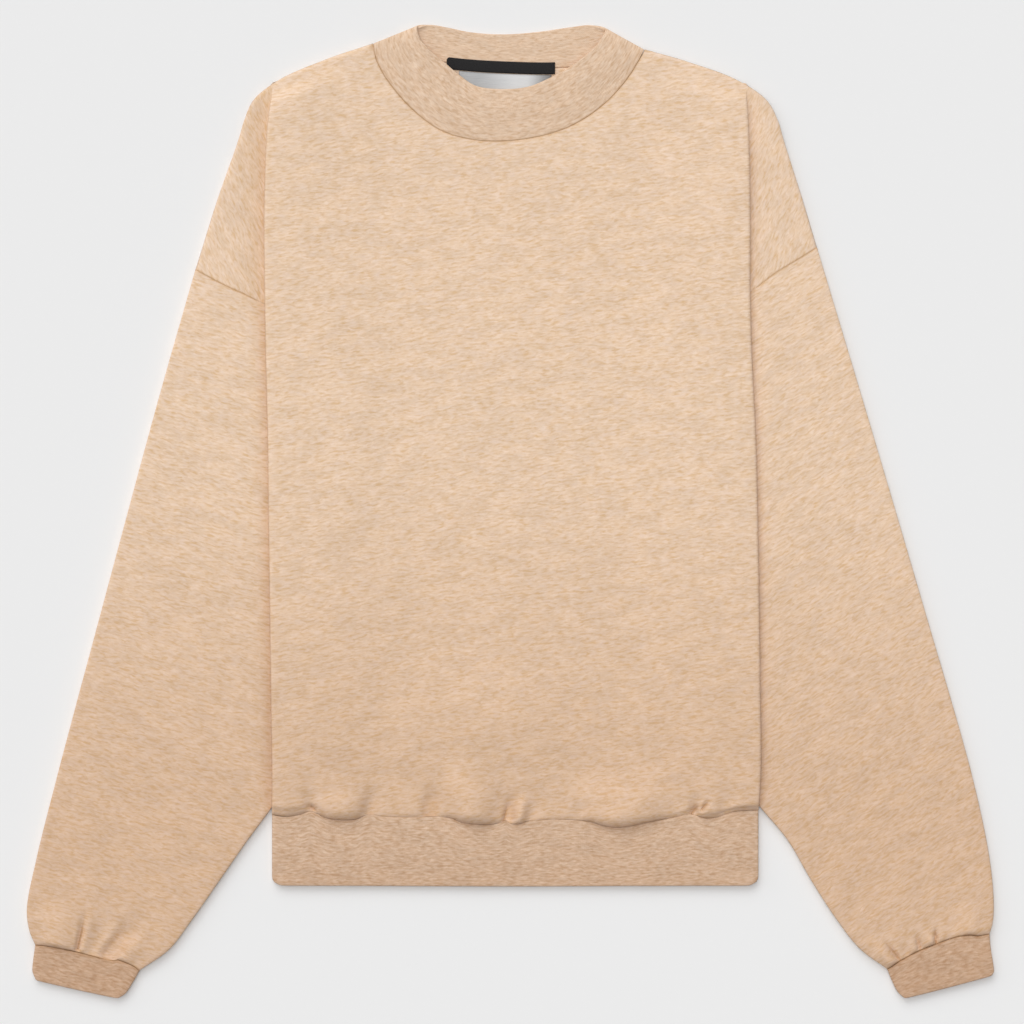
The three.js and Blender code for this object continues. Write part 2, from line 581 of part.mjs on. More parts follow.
// A flat tube from section to section between an outer and an inner edge line. The bend gives how far each
// place is moved in the plane, and the lift how far the top is raised.
function sleeveTube(side, lines, rows, height, thickness, seams, bend, lift) {
  const way = placedAt(side, side.sleeveOuter, 1).sub(placedAt(side, side.sleeveOuter, 0)).normalize();
  const apart = way.multiplyScalar(SEAM_SLANT * seams * SEAM_GAP);
  const grid = rows.map((t) => {
    const outer = placedAt(side, lines.outer, t);
    const inner = placedAt(side, lines.inner, t);
    const width = outer.distanceTo(inner);
    const section = tubeSection(width, height, SLEEVE_COLUMNS).map((p) => {
      const u = p.across / width;
      const place = outer.clone().lerp(inner, u).add(apart).add(bend(u, t));
      place.z = p.z + lift(u, t) * step(height / 2, height, p.z);
      return place;
    });
    return side === LEFT ? section : section.reverse();
  });
  return wall([grid], thickness);
}

// A sleeve runs from the armhole, under the body's side fold, to its gathers at the cuff.
function sleeve(side) {
  const lines = { outer: side.sleeveOuter, inner: side.sleeveInner };
  const length = side.sleeveOuter.getLength();
  const bend = (u, t) => {
    const chord = placedAt(side, side.armhole, 0).lerp(placedAt(side, side.armhole, 1), u);
    const toArmhole = placedAt(side, side.armhole, u).sub(chord).multiplyScalar(1 - step(0, SLEEVE_START, t));
    toArmhole.y += CUFF_SEAM_BOW[side.name] * 4 * u * (1 - u) * step(CUFF_APPROACH, 1, t);
    return toArmhole;
  };
  const lift = (u, t) => {
    const above = (1 - t) * length;
    const rises = CUFF_GATHERS[side.name].map((gather) => {
      const upTheSleeve = 1 - step(4, gather.reach, above);
      return gather.rise * bump(u - gather.at, gather.half) * upTheSleeve;
    });
    const full = rises.reduce((sum, rise) => sum + rise, 0);
    return lerp(CUFF_HEIGHT - LAID_HEIGHT, full, quarter(above / GATHER_ROUND));
  };
  return sleeveTube(side, lines, SLEEVE_ROWS, LAID_HEIGHT, FLEECE, 1, bend, lift);
}

function cuff(side) {
  const lines = { outer: side.cuffOuter, inner: side.cuffInner };
  const bend = (u, t) => new THREE.Vector3(0, CUFF_SEAM_BOW[side.name] * 4 * u * (1 - u) * (1 - t), 0);
  return sleeveTube(side, lines, CUFF_ROWS, CUFF_HEIGHT, RIB, 2, bend, () => 0);
}

// The hem band is a flat tube of doubled rib, its front edge along the seam under the puffs.
function hemBand() {
  const left = -LEFT.fold.points.at(-1).x - SEAM_GAP;
  const right = RIGHT.fold.points.at(-1).x;
  const count = 2 * SHOULDER_COLUMNS + NECK_COLUMNS;
  const columns = Array.from({ length: count - 1 }, (_, k) => (k + 1) / count);
  const depth = hemSeam(left) - HEM_BOTTOM;
  const backSeam = (x) => lerp(hemSeam(left), hemSeam(right), (x - left) / (right - left));
  const grid = HEM_ROWS.map((t) => {
    const fromCorner = clamp(HEM_CORNER - (1 - t) * depth, 0, 0.98 * HEM_CORNER);
    const inset = HEM_CORNER - Math.sqrt(HEM_CORNER ** 2 - fromCorner ** 2);
    return tubeSection(right - left - 2 * inset, HEM_HEIGHT, columns).map((p) => {
      const x = left + inset + p.across;
      const top = p.z > HEM_HEIGHT / 2 ? hemSeam(x) : backSeam(x);
      return new THREE.Vector3(x, lerp(top - SEAM_GAP, HEM_BOTTOM, t), p.z);
    });
  });
  return wall([grid], RIB);
}

// The neck band is a ring of doubled rib from the neck seam to its folded top, a little crowned.
function neckBand() {
  const columns = [...NECK_SHARES, NECK_SHARES[0]];
  const grid = NECK_BAND_ROWS.map((s) =>
    columns.map((share) => {
      const top = NECK_FOLD.getPoint(share);
      const seam = NECK.getPoint(share);
      const isFront = share <= FRONT_NECK_SHARE;
      if (isFront) seam.z = laidTop(seam.x, seam.y);
      const toShoulder = Math.min(share, Math.abs(share - FRONT_NECK_SHARE), 1 - share);
      const atShoulder = bump(toShoulder, SHOULDER_BULK_REACH);
      const gap = SEAM_GAP + SHOULDER_BULK * atShoulder;
      seam.lerp(top, gap / seam.distanceTo(top));
      const place = top.lerp(seam, s);
      if (isFront) place.z += NECK_BAND_CROWN * Math.sin(Math.PI * s) * (1 - atShoulder);
      place.z = Math.max(place.z, 0);
      return place;
    }),
  );
  return wall([grid], RIB);
}

// A flat strip on the inside of the back, its long edges running along the neck seam.
function stripAtBackNeck(strip, columns) {
  const seam = [...BACK_NECK].reverse();
  const rows = [strip.above, lerp(strip.above, strip.below, 0.5), strip.below];
  const grid = rows.map((offset) =>
    Array.from({ length: columns + 1 }, (_, k) => {
      const x = lerp(strip.left, strip.right, k / columns);
      return new THREE.Vector3(x, heightAt(seam, x) + offset, strip.z + strip.thickness);
    }),
  );
  return wall([grid], strip.thickness);
}

const cloth = (name, colour, roughness, geometry) => {
  const material = new THREE.MeshStandardMaterial({ color: colour, roughness, metalness: 0 });
  const mesh = new THREE.Mesh(geometry, material);
  mesh.name = name;
  return mesh;
};

const FLEECE_COLOUR = 0xe1c4a8;
const RIB_COLOUR = 0xcdac90;

const sweatshirt = new THREE.Group();
sweatshirt.add(cloth("back", FLEECE_COLOUR, 0.95, back()));
sweatshirt.add(cloth("front", FLEECE_COLOUR, 0.95, front()));
for (const side of SIDES) {
  sweatshirt.add(cloth(`sleeve_${side.name}`, FLEECE_COLOUR, 0.95, sleeve(side)));
  sweatshirt.add(cloth(`cuff_${side.name}`, RIB_COLOUR, 0.9, cuff(side)));
}
sweatshirt.add(cloth("hem_band", RIB_COLOUR, 0.9, hemBand()));
sweatshirt.add(cloth("neck_band", 0xdbbca0, 0.9, neckBand()));
sweatshirt.add(cloth("neck_tape", 0x2d2b2c, 0.8, stripAtBackNeck(NECK_TAPE, 10)));
sweatshirt.add(cloth("size_patch", 0xcbcbca, 0.7, stripAtBackNeck(SIZE_PATCH, 8)));

export default sweatshirt;
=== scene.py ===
"""A crewneck sweatshirt of heather fleece, laid out flat with its sides folded in, on a pale studio
floor.

Shapes are worked out in millimetres, in the frame of the part: X to the right, Y up to the neck, Z up
from the floor. "Out" is the distance from the centre line on either side. Left and right are as seen
from above.
"""
from math import cos, pi, radians, sin

import bmesh
import bpy
import numpy as np
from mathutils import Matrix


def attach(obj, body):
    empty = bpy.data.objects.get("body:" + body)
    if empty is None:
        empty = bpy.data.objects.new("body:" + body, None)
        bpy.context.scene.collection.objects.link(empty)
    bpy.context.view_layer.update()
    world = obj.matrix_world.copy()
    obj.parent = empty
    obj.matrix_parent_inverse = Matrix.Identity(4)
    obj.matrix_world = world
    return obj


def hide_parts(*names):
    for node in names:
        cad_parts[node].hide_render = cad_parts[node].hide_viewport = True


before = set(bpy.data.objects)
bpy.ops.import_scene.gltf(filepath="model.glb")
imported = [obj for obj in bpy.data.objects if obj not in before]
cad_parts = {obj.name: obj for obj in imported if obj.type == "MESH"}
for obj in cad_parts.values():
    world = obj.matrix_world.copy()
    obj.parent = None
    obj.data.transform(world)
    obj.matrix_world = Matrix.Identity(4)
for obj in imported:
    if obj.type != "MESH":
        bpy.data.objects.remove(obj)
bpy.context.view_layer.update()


def add_camera():
    """The photograph's view: straight down, from far off."""
    height, frame_width, centre = 4.0, 0.8397, (0.00164, -0.00041)
    data = bpy.data.cameras.new("camera")
    data.sensor_width = 36.0
    data.lens = 36.0 * height / frame_width
    camera = bpy.data.objects.new("camera", data)
    bpy.context.collection.objects.link(camera)
    camera.location = (*centre, height + 0.006)
    bpy.context.scene.camera = camera


add_camera()

MM = 0.001
FLEECE = 2.0  # wall of the body and sleeve cloth
BACK_THICKNESS = 2.2
RIB = 2.5  # wall of a doubled rib band
JOIN_DISTANCE = 3e-6  # metres between points of two grids that are one
THIN_REACH = 5.0  # how far from its sharp corners the wall of the front is thinned
THIN_SHARE = 0.1
SEAM_GAP = 0.03  # air between two sewn edges
SIDE_GAP = 0.8  # air between the side seam and the sleeve beside it
LAID_HEIGHT = 7.0  # top of two layers of fleece that lie on each other
EDGE_ROUND = 5.5  # how far in from the outline the cloth curves down
EDGE_Z = 2.6  # where the front meets the back along the outline
FOLD_RADIUS = 2.5  # outside of the side fold
FOLD_NIP = 0.25  # inside of the turn under it
HIDDEN_SLANT = 7.0  # how much lower the hidden end of an armhole lies than the fold there
SIDE_LIFT_REACH = 90  # how far in the body slopes down from the layers folded under it
FOLD_SINK = 2.6  # how far the cloth beside a side fold sinks towards it
# How far that goes beside the sleeve, and on the dropped shoulder.
FOLD_SINK_REACH = {"left": (14.0, 34.0), "right": (10.0, 13.0)}
HEM_HEIGHT = 6.4
HEM_LIFT = 0.3  # how much higher the body lies along the hem seam
HEM_BOTTOM = -307.5
HEM_CORNER = 7.0
HEM_HALF = 206.0  # half the width over which the hem seam runs, and a little more
HEM_FADE = (-264, -238)  # heights between which what lies beside a side fold fades out at the hem
SHOULDER_FADE = (140, 200)  # heights between which a side fold's reach widens to the shoulder's
FULLEST_PUFF = 9.4
# Over how much cloth the front rounds down to the hem, flat and in a full puff.
FLAT_ROLL, PUFF_ROLL = 4.0, 10.0
PUFF_ROUNDNESS = 1.6
ROLL_SINK = 0.1  # how far below the top of the hem band the front ends
HEM_LIFT_FADE = (8, 60)  # how far above the hem seam its low lift fades out
PUFF_FOOT = 5  # how far above the hem seam a puff starts to fall
CUFF_HEIGHT = 6.4
BODY_LENGTH = 600.0
SHOULDER_WAVES = (205, 225)  # how far out the dropped shoulder's waviness sets in
SLEEVE_WAVES = (30, 80)  # how far down from the armhole a sleeve's waviness sets in
SLEEVE_ROLL = 6.0  # over how much cloth a sleeve rounds down to its cuff
CUFF_STEP = 0.9  # how far below the top of the cuff a sleeve ends
SLEEVE_SHIFT = 1.4 * SEAM_GAP  # how far a sleeve starts below its armhole
CUFF_SHIFT = 2.8 * SEAM_GAP
ARMHOLE_ROW = 190.0  # how far down from the shoulder the armhole's hidden end lies
FLAP_CORNER = 0.62  # where the first row of the dropped shoulder meets the outline, as a share of it
FRONT_DEEPEST = 2.6  # the most that a crease sinks, so that the wall stays clear of the back
SLEEVE_DEEPEST = 4.4
SEAM_DIP = 0.22  # how deep the cloth turns down at a seam
SEAM_DIP_WIDTH = 1.6
SEAM_SHADE_WIDTH = 0.85  # half width of the painted shade along a seam
HEM_SEAM_SHADE = 0.1  # how much of that painted shade the hem seam has
FOLD_SHADE = {"left": 0.5, "right": 0.05}  # how much painted shade darkens and browns the cloth beside a side fold

# Rows of (out, y), down each side.
SHOULDER_LINE = {
    "left": [(112.3, 384.2), (153.3, 370.2), (190.2, 353.8), (210.7, 337.4), (218.1, 321), (223, 304.6),
             (240.3, 255.4), (258.1, 198.5)],
    "right": [(110.5, 379.3), (145, 369.4), (187, 353.8), (210.7, 337.4), (219.8, 321), (224.7, 304.6),
              (240.3, 255.4), (251.9, 216.6)],
}
SLEEVE_OUTER = {
    "left": [(258.1, 198.5), (288.6, 91.4), (332.9, -72.6), (372.3, -220.2), (388.7, -285.8),
             (396.3, -326), (394.2, -344), (389.5, -355.5)],
    "right": [(251.9, 216.6), (289.5, 91.4), (337.8, -72.6), (380, -220.2), (393.6, -285.8),
              (396.9, -322), (396, -337), (393.4, -346.5)],
}
SLEEVE_INNER = {
    "left": [(171, 156), (169, 60), (166.5, -100), (171, -185), (181.5, -220), (195.6, -243),
             (215.4, -270), (237.8, -302.2), (260.8, -335), (279.8, -359.6), (303.8, -376.5)],
    "right": [(167, 160), (171, 60), (174.5, -100), (179, -185), (189, -220), (204.4, -241.5),
              (227.6, -269.4), (246.8, -302.2), (268.1, -335), (287, -358.8), (309.5, -375.5)],
}
FOLD_LINE = {
    "left": [(194.3, 351.9), (199, 312.8), (201.4, 247), (201, 181.6), (200.2, 132), (198.6, 67),
             (197.6, -15), (195.8, -155), (195, -212), (195.2, -249)],
    "right": [(193.8, 350.8), (195.6, 312.8), (196.8, 247), (196.8, 181.6), (198, 132), (201.1, 67),
              (203.2, -15), (205.2, -155), (205.6, -212), (203.8, -246)],
}
ARMHOLE = {
    "left": [(258.1, 198.5), (237.1, 187.2), (217, 177.8), (201.6, 170.2), (171, 156)],
    "right": [(251.9, 216.6), (236.2, 206.7), (219.4, 196.7), (202.5, 184.1), (167, 160)],
}
CUFF_OUTER = {
    "left": [(389.5, -355.5), (391.2, -368), (391.8, -376.8), (389.4, -383.4)],
    "right": [(393.4, -346.5), (394.4, -358), (396.6, -372), (397, -377.6), (395.6, -380)],
}
CUFF_INNER = {
    "left": [(303.8, -376.5), (309.4, -386.4), (315.4, -395.4), (320.6, -398.8)],
    "right": [(309.5, -375.5), (313.6, -385.6), (317.8, -393.8), (322.8, -398.6)],
}
# How far the cuff's seam bows up: rows of (share across from the outer edge, bow).
CUFF_SEAM_BOW = {
    "left": [(0, 0), (0.15, 1.7), (0.4, 2.6), (0.66, 2.3), (0.8, 4.4), (0.9, 3.3), (1, 0)],
    "right": [(0, 0), (0.1, 1.5), (0.24, 5.8), (0.41, 7.3), (0.62, 6.7), (0.85, 3.8), (1, 0)],
}
# The neck seam and the band's folded top edge, rows of (x, y, z) from the left shoulder along the front
# to the right shoulder, and back behind the neck.
NECK_SEAM = [
    (-111.9, 383.8, 3.2), (-110.6, 373.6, 6.6), (-106, 362.5, 7), (-96, 347.4, 7), (-79.5, 329.2, 7),
    (-56, 312.2, 7), (-29.3, 304.7, 7), (0, 304, 7), (31, 309.2, 7), (54.4, 318.2, 7),
    (77.8, 334.4, 7), (94.5, 352.7, 7), (104.4, 367.5, 6.6), (110, 378.9, 3.2), (103, 375.6, 0.3),
    (80, 368.5, 0), (40, 364.6, 0), (0, 365, 0), (-45, 368, 0), (-80, 373.8, 0),
    (-104, 380.2, 0.3),
]
NECK_TOP = [
    (-75.6, 398.6, 5.4), (-75.8, 393.5, 8.6), (-72.6, 386, 9), (-66, 378.6, 8.8), (-53, 367.6, 8.6),
    (-42, 358.4, 8.4), (-28, 349.2, 8.2), (-8, 346.5, 8.2), (14, 348.2, 8.2), (35, 356.8, 8.4),
    (53, 367.4, 8.8), (69.5, 380.8, 9), (76.4, 390.5, 8.6), (78.2, 396.4, 5.4), (68, 399.4, 1.6),
    (50, 397.6, 0.7), (22, 393.6, 0.6), (-6, 391.7, 0.6), (-32, 393.4, 0.6), (-52, 397.4, 0.7),
    (-66, 399.8, 1.6),
]
RIGHT_SHOULDER_ROW = 13
SHOULDER_BULK = 0.5
NECK_CROWN = 0.9
# The lower edge of the front where it rolls over the hem band, as rows of (x, y).
HEM_ROLL = [
    (-195.2, -248.6), (-184.8, -250.2), (-173, -248.7), (-163.5, -245.6), (-159, -247.3), (-151, -251),
    (-142, -252.6), (-134, -253), (-126, -252.2), (-119, -249.4), (-113, -248), (-107, -249.4),
    (-85, -250.6), (-56, -250.2), (-46, -252), (-40, -254.8), (-27, -256.6), (-14, -256.4),
    (-7, -254.8), (-3.6, -253.4), (1, -256.2), (8, -256), (15, -253.8), (37, -252.2), (52, -252.8),
    (66, -254.3), (76, -257.6), (86, -259), (98, -258), (110, -255.4), (136, -250.4),
    (148, -248), (154, -249.8), (161, -251.4), (169, -250.8), (176, -248.4), (183, -246.4),
    (190, -245.4), (203.8, -244.8),
]
# The puffs of the front above the hem seam: centre, half width, rise, reach up the cloth.
HEM_PUFFS = [
    (-181, 20, 1.2, 24), (-138, 26, 9, 34), (-86, 28, 0.2, 26), (-31, 27, 9.4, 50), (8, 10, 4.4, 20),
    (40, 24, 0.4, 22), (92, 50, 9.4, 48), (160, 12, 4.6, 15), (192, 18, 2.4, 34),
]
# The gathers of each sleeve above its cuff: place across from the outer edge as a share, half width,
# rise, reach.
CUFF_GATHERS = {
    "left": [(0.25, 0.26, 3.6, 58), (0.62, 0.15, 2.2, 40), (0.88, 0.15, 2, 60)],
    "right": [(0.16, 0.2, 2.8, 50), (0.4, 0.11, 1.8, 26), (0.58, 0.1, 1.6, 24), (0.74, 0.1, 2, 30),
              (0.91, 0.11, 2.6, 64)],
}
# Creases and ridges, as (x, y) at the deep end, (x, y) at the shallow end, half width, rise. A trough
# is negative.
FRONT_CREASES = [
    (-163.2, -243, -168, -226, 6.5, -2.4), (-163, -242.5, -158, -247, 2.4, -3),
    (-116, -246.5, -110, -222, 8, -3), (-66, -248, -60, -218, 9, -5),
    (-4.8, -254, 0.6, -238, 2.6, -4.6), (0, -250, 4, -224, 7, -3.2),
    (17, -250, 26, -224, 8, -2.2), (56, -251, 64, -228, 8, -2.2),
    (149.4, -247.6, 155.6, -239, 2.6, -4), (157.4, -244.6, 164.6, -234.6, 2.6, -3.6),
    (151, -246, 157, -230, 7, -3),
    (176, -245, 182, -222, 8, -2.2),
]
SLEEVE_CREASES = {
    "left": [(-354.6, -359, -346, -320, 3, -4), (-350, -359, -342, -326, 3.4, 0.6),
             (-331, -364.5, -301.5, -330, 9, -6.4), (-331.6, -365.4, -317, -349, 3.4, -2.4),
             (-318, -364, -288, -334, 7, 1), (-372, -350, -372, -312, 16, 1.6),
             (-340, -362, -326, -322, 9, -3), (-308, -372, -286, -348, 8, -1.4)],
    "right": [(349.6, -353.4, 348.6, -340, 1.9, -5), (345, -355, 344, -344, 3.2, 1.2),
              (336, -358, 333, -343, 2.2, -3.6), (326, -363, 320, -346, 5, -2.4),
              (320.6, -368.4, 305.6, -350.5, 2.3, -5.4), (312, -371, 294, -348, 5, 1.6),
              (360, -349, 362, -328, 7, -1.6), (376, -346, 376, -318, 10, 1.2),
              (234.2, -178, 234, -194, 2.2, -0.8)],
}
# Where the front's columns crowd, as place across, half width, extra density.
CREASE_COLUMNS = [(-163, 18, 1.2), (-1, 20, 1.8), (157, 20, 2.6)]
# Sharply pinched creases, from (x, y) to (x, y), with half width and depth. They are bump and painted
# shade in the fleece.
PINCHES = [
    (-354.4, -358.6, -348.4, -332, 0.9, 1), (-331.6, -365.6, -317, -348, 1.3, 0.5),
    (349.6, -355, 348.6, -340.6, 0.8, 1), (320.8, -368.8, 306, -351, 1, 0.8),
    (336.6, -359, 334.6, -349, 0.8, 0.5), (149.2, -248, 155.2, -240, 1, 0.9),
    (157.4, -244, 163.8, -236, 1, 0.8), (-5, -254.4, -1.4, -240, 1.2, 0.8),
    (-163, -242, -157, -247.6, 1, 0.7), (-327, -366, -320, -353, 3.6, 0.3),
    (-66, -251, -62, -226, 7, 0.3), (1, -252, 4, -230, 6, 0.35),
]
# Broad soft dents and swells, as (x, y), half widths along and across, turn in degrees, rise.
FRONT_DENTS = [
    (-34, -184, 104, 74, 5, 5), (-70, -214, 60, 26, 16, -1.2), (10, -150, 90, 36, 12, 0.7),
    (-130, -150, 60, 40, -20, 0.6), (-150, -215, 42, 20, 30, -0.7), (60, -215, 60, 24, -14, -0.8),
    (120, -170, 70, 40, 14, 0.6), (-90, 40, 90, 50, 10, 0.5), (70, 80, 100, 60, -16, -0.5),
    (-60, 190, 80, 60, 20, 0.5), (140, 250, 60, 60, 40, 0.6), (-150, 250, 60, 50, -40, 0.5),
    (150, -20, 50, 110, 4, -0.5), (-165, -60, 36, 120, -3, -0.4),
]
SLEEVE_DENTS = {
    "left": [(-255, 40, 60, 40, 60, -0.6), (-285, -90, 60, 40, 30, -0.7), (-330, -190, 60, 34, 60, 0.8),
             (-270, -230, 60, 34, -40, -0.9), (-345, -290, 50, 26, 20, -0.9),
             (-300, -310, 40, 24, -50, 0.7)],
    "right": [(250, 60, 60, 40, -50, -0.5), (300, -60, 60, 34, -30, 0.6), (340, -160, 30, 70, 12, -0.9),
              (270, -200, 50, 34, 30, 0.7), (350, -260, 40, 50, 10, -0.8),
              (300, -310, 50, 24, 40, -0.6)],
}
HEM_DENTS = [
    (-150, -262, 46, 9, 0, -0.35), (-60, -280, 80, 12, -4, -0.3), (95, -272, 95, 11, 14, -0.5),
    (160, -262, 40, 8, 8, -0.3),
]
# The strips on the inside of the back: left and right end, edges above and below the neck seam,
# underside, top.
NECK_TAPE = (-52, 37, 4.2, -5.6, 3.1, 4.1)
SIZE_PATCH = (-42, 34, -6, -44, 2.5, 3.5)


def step(a, b, x):
    """A soft step: 0 up to a, 1 from b, and a cubic between them."""
    t = np.clip((x - a) / (b - a), 0, 1)
    return t * t * (3 - 2 * t)


def bump(offset, half):
    """A soft bump: 1 in the middle, 0 from the half width out, the square of a parabola."""
    return (1 - np.clip((offset / half) ** 2, 0, 1)) ** 2


def quarter(share):
    """A quarter round: 0 at the edge, rising as a circle does to 1 at its inner end."""
    return np.sqrt(1 - (1 - np.clip(share, 0, 1)) ** 2)


def shoulder_round(share):
    """A squarer round: 0 at the edge, rising steeply and then levelling off, as a superellipse does."""
    return (1 - (1 - np.clip(share, 0, 1)) ** 3.4) ** (1 / 3.4)


def mix(a, b, t):
    """The straight blend of a and b."""
    return a + (b - a) * t


def through(rows, at, closed=False):
    """The smooth line through the rows of a table, at places counted in rows: between two rows a cubic,
    whose slopes come from the rows around them, weighted by the square roots of their distances."""
    p = np.asarray(rows, float)
    count = len(p)
    i = np.floor(at).astype(int)
    if not closed:
        i = np.clip(i, 0, count - 2)
        p = np.concatenate([[2 * p[0] - p[1]], p, [2 * p[-1] - p[-2]]])
        p0, p1, p2, p3 = (p[i + k] for k in range(4))
    else:
        p0, p1, p2, p3 = (p[(i + k - 1) % count] for k in range(4))
    steps = ((p0, p1), (p1, p2), (p2, p3))
    d0, d1, d2 = (np.sqrt(np.linalg.norm(b - a, axis=-1, keepdims=True)) for a, b in steps)
    m1 = ((p1 - p0) / d0 - (p2 - p0) / (d0 + d1) + (p2 - p1) / d1) * d1
    m2 = ((p2 - p1) / d1 - (p3 - p1) / (d1 + d2) + (p3 - p2) / d2) * d1
    t = (at - i)[..., None]
    return (
        p1
        + m1 * t
        + (3 * (p2 - p1) - 2 * m1 - m2) * t**2
        + (2 * (p1 - p2) + m1 + m2) * t**3
    )


class EdgeLine:
    """A smooth line down one side, through rows of (out, y)."""

    def __init__(self, rows):
        self.trace = through(rows, np.linspace(0, len(rows) - 1, 40 * len(rows)))
        lengths = np.linalg.norm(np.diff(self.trace, axis=0), axis=1)
        self.share = np.concatenate([[0], np.cumsum(lengths)]) / lengths.sum()
        self.length = lengths.sum()
        self.start, self.end = self.trace[0], self.trace[-1]

    def at(self, share):
        """The point (out, y) at a share of the length."""
        return np.stack([np.interp(share, self.share, self.trace[:, k]) for k in (0, 1)], -1)

    def out_at(self, y):
        """How far out the line lies at a height. It falls all the way."""
        return np.interp(-y, -self.trace[:, 1], self.trace[:, 0])


class Side:
    """One side's lines. The sign turns a distance out into a place across."""

    def __init__(self, name):
        self.name = name
        self.sign = -1 if name == "left" else 1
        self.shoulder = EdgeLine(SHOULDER_LINE[name])
        self.sleeve_outer = EdgeLine(SLEEVE_OUTER[name])
        self.sleeve_inner = EdgeLine(SLEEVE_INNER[name])
        self.fold = EdgeLine(FOLD_LINE[name])
        self.armhole = EdgeLine(ARMHOLE[name])
        self.cuff_outer = EdgeLine(CUFF_OUTER[name])
        self.cuff_inner = EdgeLine(CUFF_INNER[name])
        beyond = np.argmax(self.shoulder.trace[:, 0] > self.fold.start[0])
        self.fold_share = self.shoulder.share[beyond]

    def place(self, out_y):
        """(out, y) as (x, y)."""
        return out_y * (self.sign, 1)


LEFT, RIGHT = SIDES = [Side("left"), Side("right")]

hem_trace = through(HEM_ROLL, np.linspace(0, len(HEM_ROLL) - 1, 800))


def hem_seam(x):
    """The height of the seam above the hem band at a place across."""
    return np.interp(x, hem_trace[:, 0], hem_trace[:, 1])


def line_distance(x, y, line):
    """The distance in the plane to a line of points: the least over the stretches between them."""
    place = np.stack([x, y], -1)[..., None, :]
    span = np.diff(line, axis=0)
    t = np.clip(((place - line[:-1]) * span).sum(-1) / (span**2).sum(-1), 0, 1)
    return np.linalg.norm(place - line[:-1] - t[..., None] * span, axis=-1).min(-1)


def relief(x, y, creases, dents):
    """The rise of the listed folds. A crease is a bump across its line, fading out along it. A dent is a
    round bump, stretched and turned."""
    rise = np.zeros_like(x)
    for x0, y0, x1, y1, half, height in creases:
        along = ((x - x0) * (x1 - x0) + (y - y0) * (y1 - y0)) / ((x1 - x0) ** 2 + (y1 - y0) ** 2)
        t = np.clip(along, 0, 1)
        away = np.hypot(x - mix(x0, x1, t), y - mix(y0, y1, t))
        rise += height * bump(away, half * (1 + 0.6 * t)) * (1 - step(0.15, 1.0, along))
    for cx, cy, half_along, half_across, turn, height in dents:
        c, s = cos(radians(turn)), sin(radians(turn))
        u = ((x - cx) * c + (y - cy) * s) / half_along
        v = (-(x - cx) * s + (y - cy) * c) / half_across
        rise += height * bump(np.hypot(u, v), 1.0)
    return rise


WAVES = np.random.default_rng(11).uniform((-1, -1, 0), (1, 1, 2 * pi), (14, 3))


def unevenness(x, y, height=0.16):
    """A slight waviness of laid cloth: a sum of slow waves in fixed chance directions."""
    total = np.zeros_like(x)
    for k, (a, b, phase) in enumerate(WAVES):
        length = 38 + 9 * k
        total += np.sin((a * x + b * y) * 2 * pi / length + phase)
    return height * total / 3


outlines = {side.name: side.place(side.shoulder.at(np.linspace(0, 1, 60))) for side in SIDES}
armholes = {side.name: side.place(side.armhole.at(np.linspace(0, 1, 24))) for side in SIDES}
shown_armholes = [side.place(side.armhole.at(np.linspace(0, 0.58, 16))) for side in SIDES]
neck_rows = np.linspace(0, RIGHT_SHOULDER_ROW, 90)
neck_line = through(NECK_SEAM, neck_rows, closed=True)[:, :2]


def seam_dip(distance):
    """How far the cloth turns down at a seam: a parabola over the dip's width."""
    return SEAM_DIP * (1 - np.clip(distance / SEAM_DIP_WIDTH, 0, 1)) ** 2


def seam_bow(side, u):
    """How far the cuff's seam bows up at a share across: the smooth line through its table."""
    line = through(CUFF_SEAM_BOW[side.name], np.linspace(0, 6, 121))
    return np.interp(u, line[:, 0], line[:, 1])


def cuff_seam(side):
    """The line of points along the cuff's seam."""
    u = np.linspace(0, 1, 40)
    points = mix(side.place(side.sleeve_outer.end), side.place(side.sleeve_inner.end), u[:, None])
    points[:, 1] += seam_bow(side, u)
    return points


def beside_fold(side, x, y):
    """1 at a side fold, falling to 0 as a parabola does over its reach outwards, which is wider at the
    shoulder."""
    away = side.sign * x - side.fold.out_at(y)
    reach = mix(*FOLD_SINK_REACH[side.name], step(*SHOULDER_FADE, y))
    return (1 - np.clip(away / reach, 0, 1)) ** 2


def painted_seam_fold_shade(x, y):
    """How much painted shade darkens and browns the cloth: 1 on a seam, falling off beside it as a bell
    curve does, fainter along the hem, and fading away from a side fold as a parabola does."""
    lines = [neck_line, *shown_armholes, *(cuff_seam(side) for side in SIDES)]
    nearest = np.min([line_distance(x, y, line) for line in lines], axis=0)
    to_hem = np.where(np.abs(x) < HEM_HALF, np.abs(y - hem_seam(x)), 1000)
    shade_along_hem = HEM_SEAM_SHADE * np.exp(-((to_hem / SEAM_SHADE_WIDTH) ** 2))
    seam_fold_shade = np.maximum(np.exp(-((nearest / SEAM_SHADE_WIDTH) ** 2)), shade_along_hem)
    for side in SIDES:
        away = side.sign * x - side.fold.out_at(y)
        beside = beside_fold(side, x, y) * step(-1, 0.5, away) * step(*HEM_FADE, y)
        seam_fold_shade = np.maximum(seam_fold_shade, FOLD_SHADE[side.name] * beside)
    return seam_fold_shade


def laid_top(x, y):
    """The top of the front where nothing lifts it: two layers high, rounded down to the outline."""
    away = np.where(x < 0, line_distance(x, y, outlines["left"]), line_distance(x, y, outlines["right"]))
    return mix(EDGE_Z, LAID_HEIGHT, shoulder_round(away / EDGE_ROUND))


def hem_puff(x, y):
    """How much the cloth stands up above the hem seam: a low lift all along, and a bump for each
    puff."""
    above = y - hem_seam(x)
    rise = HEM_LIFT * (1 - step(*HEM_LIFT_FADE, above))
    for centre, half, height, reach in HEM_PUFFS:
        rise = rise + height * bump(x - centre, half) * (1 - step(PUFF_FOOT, PUFF_FOOT + reach, above))
    return rise


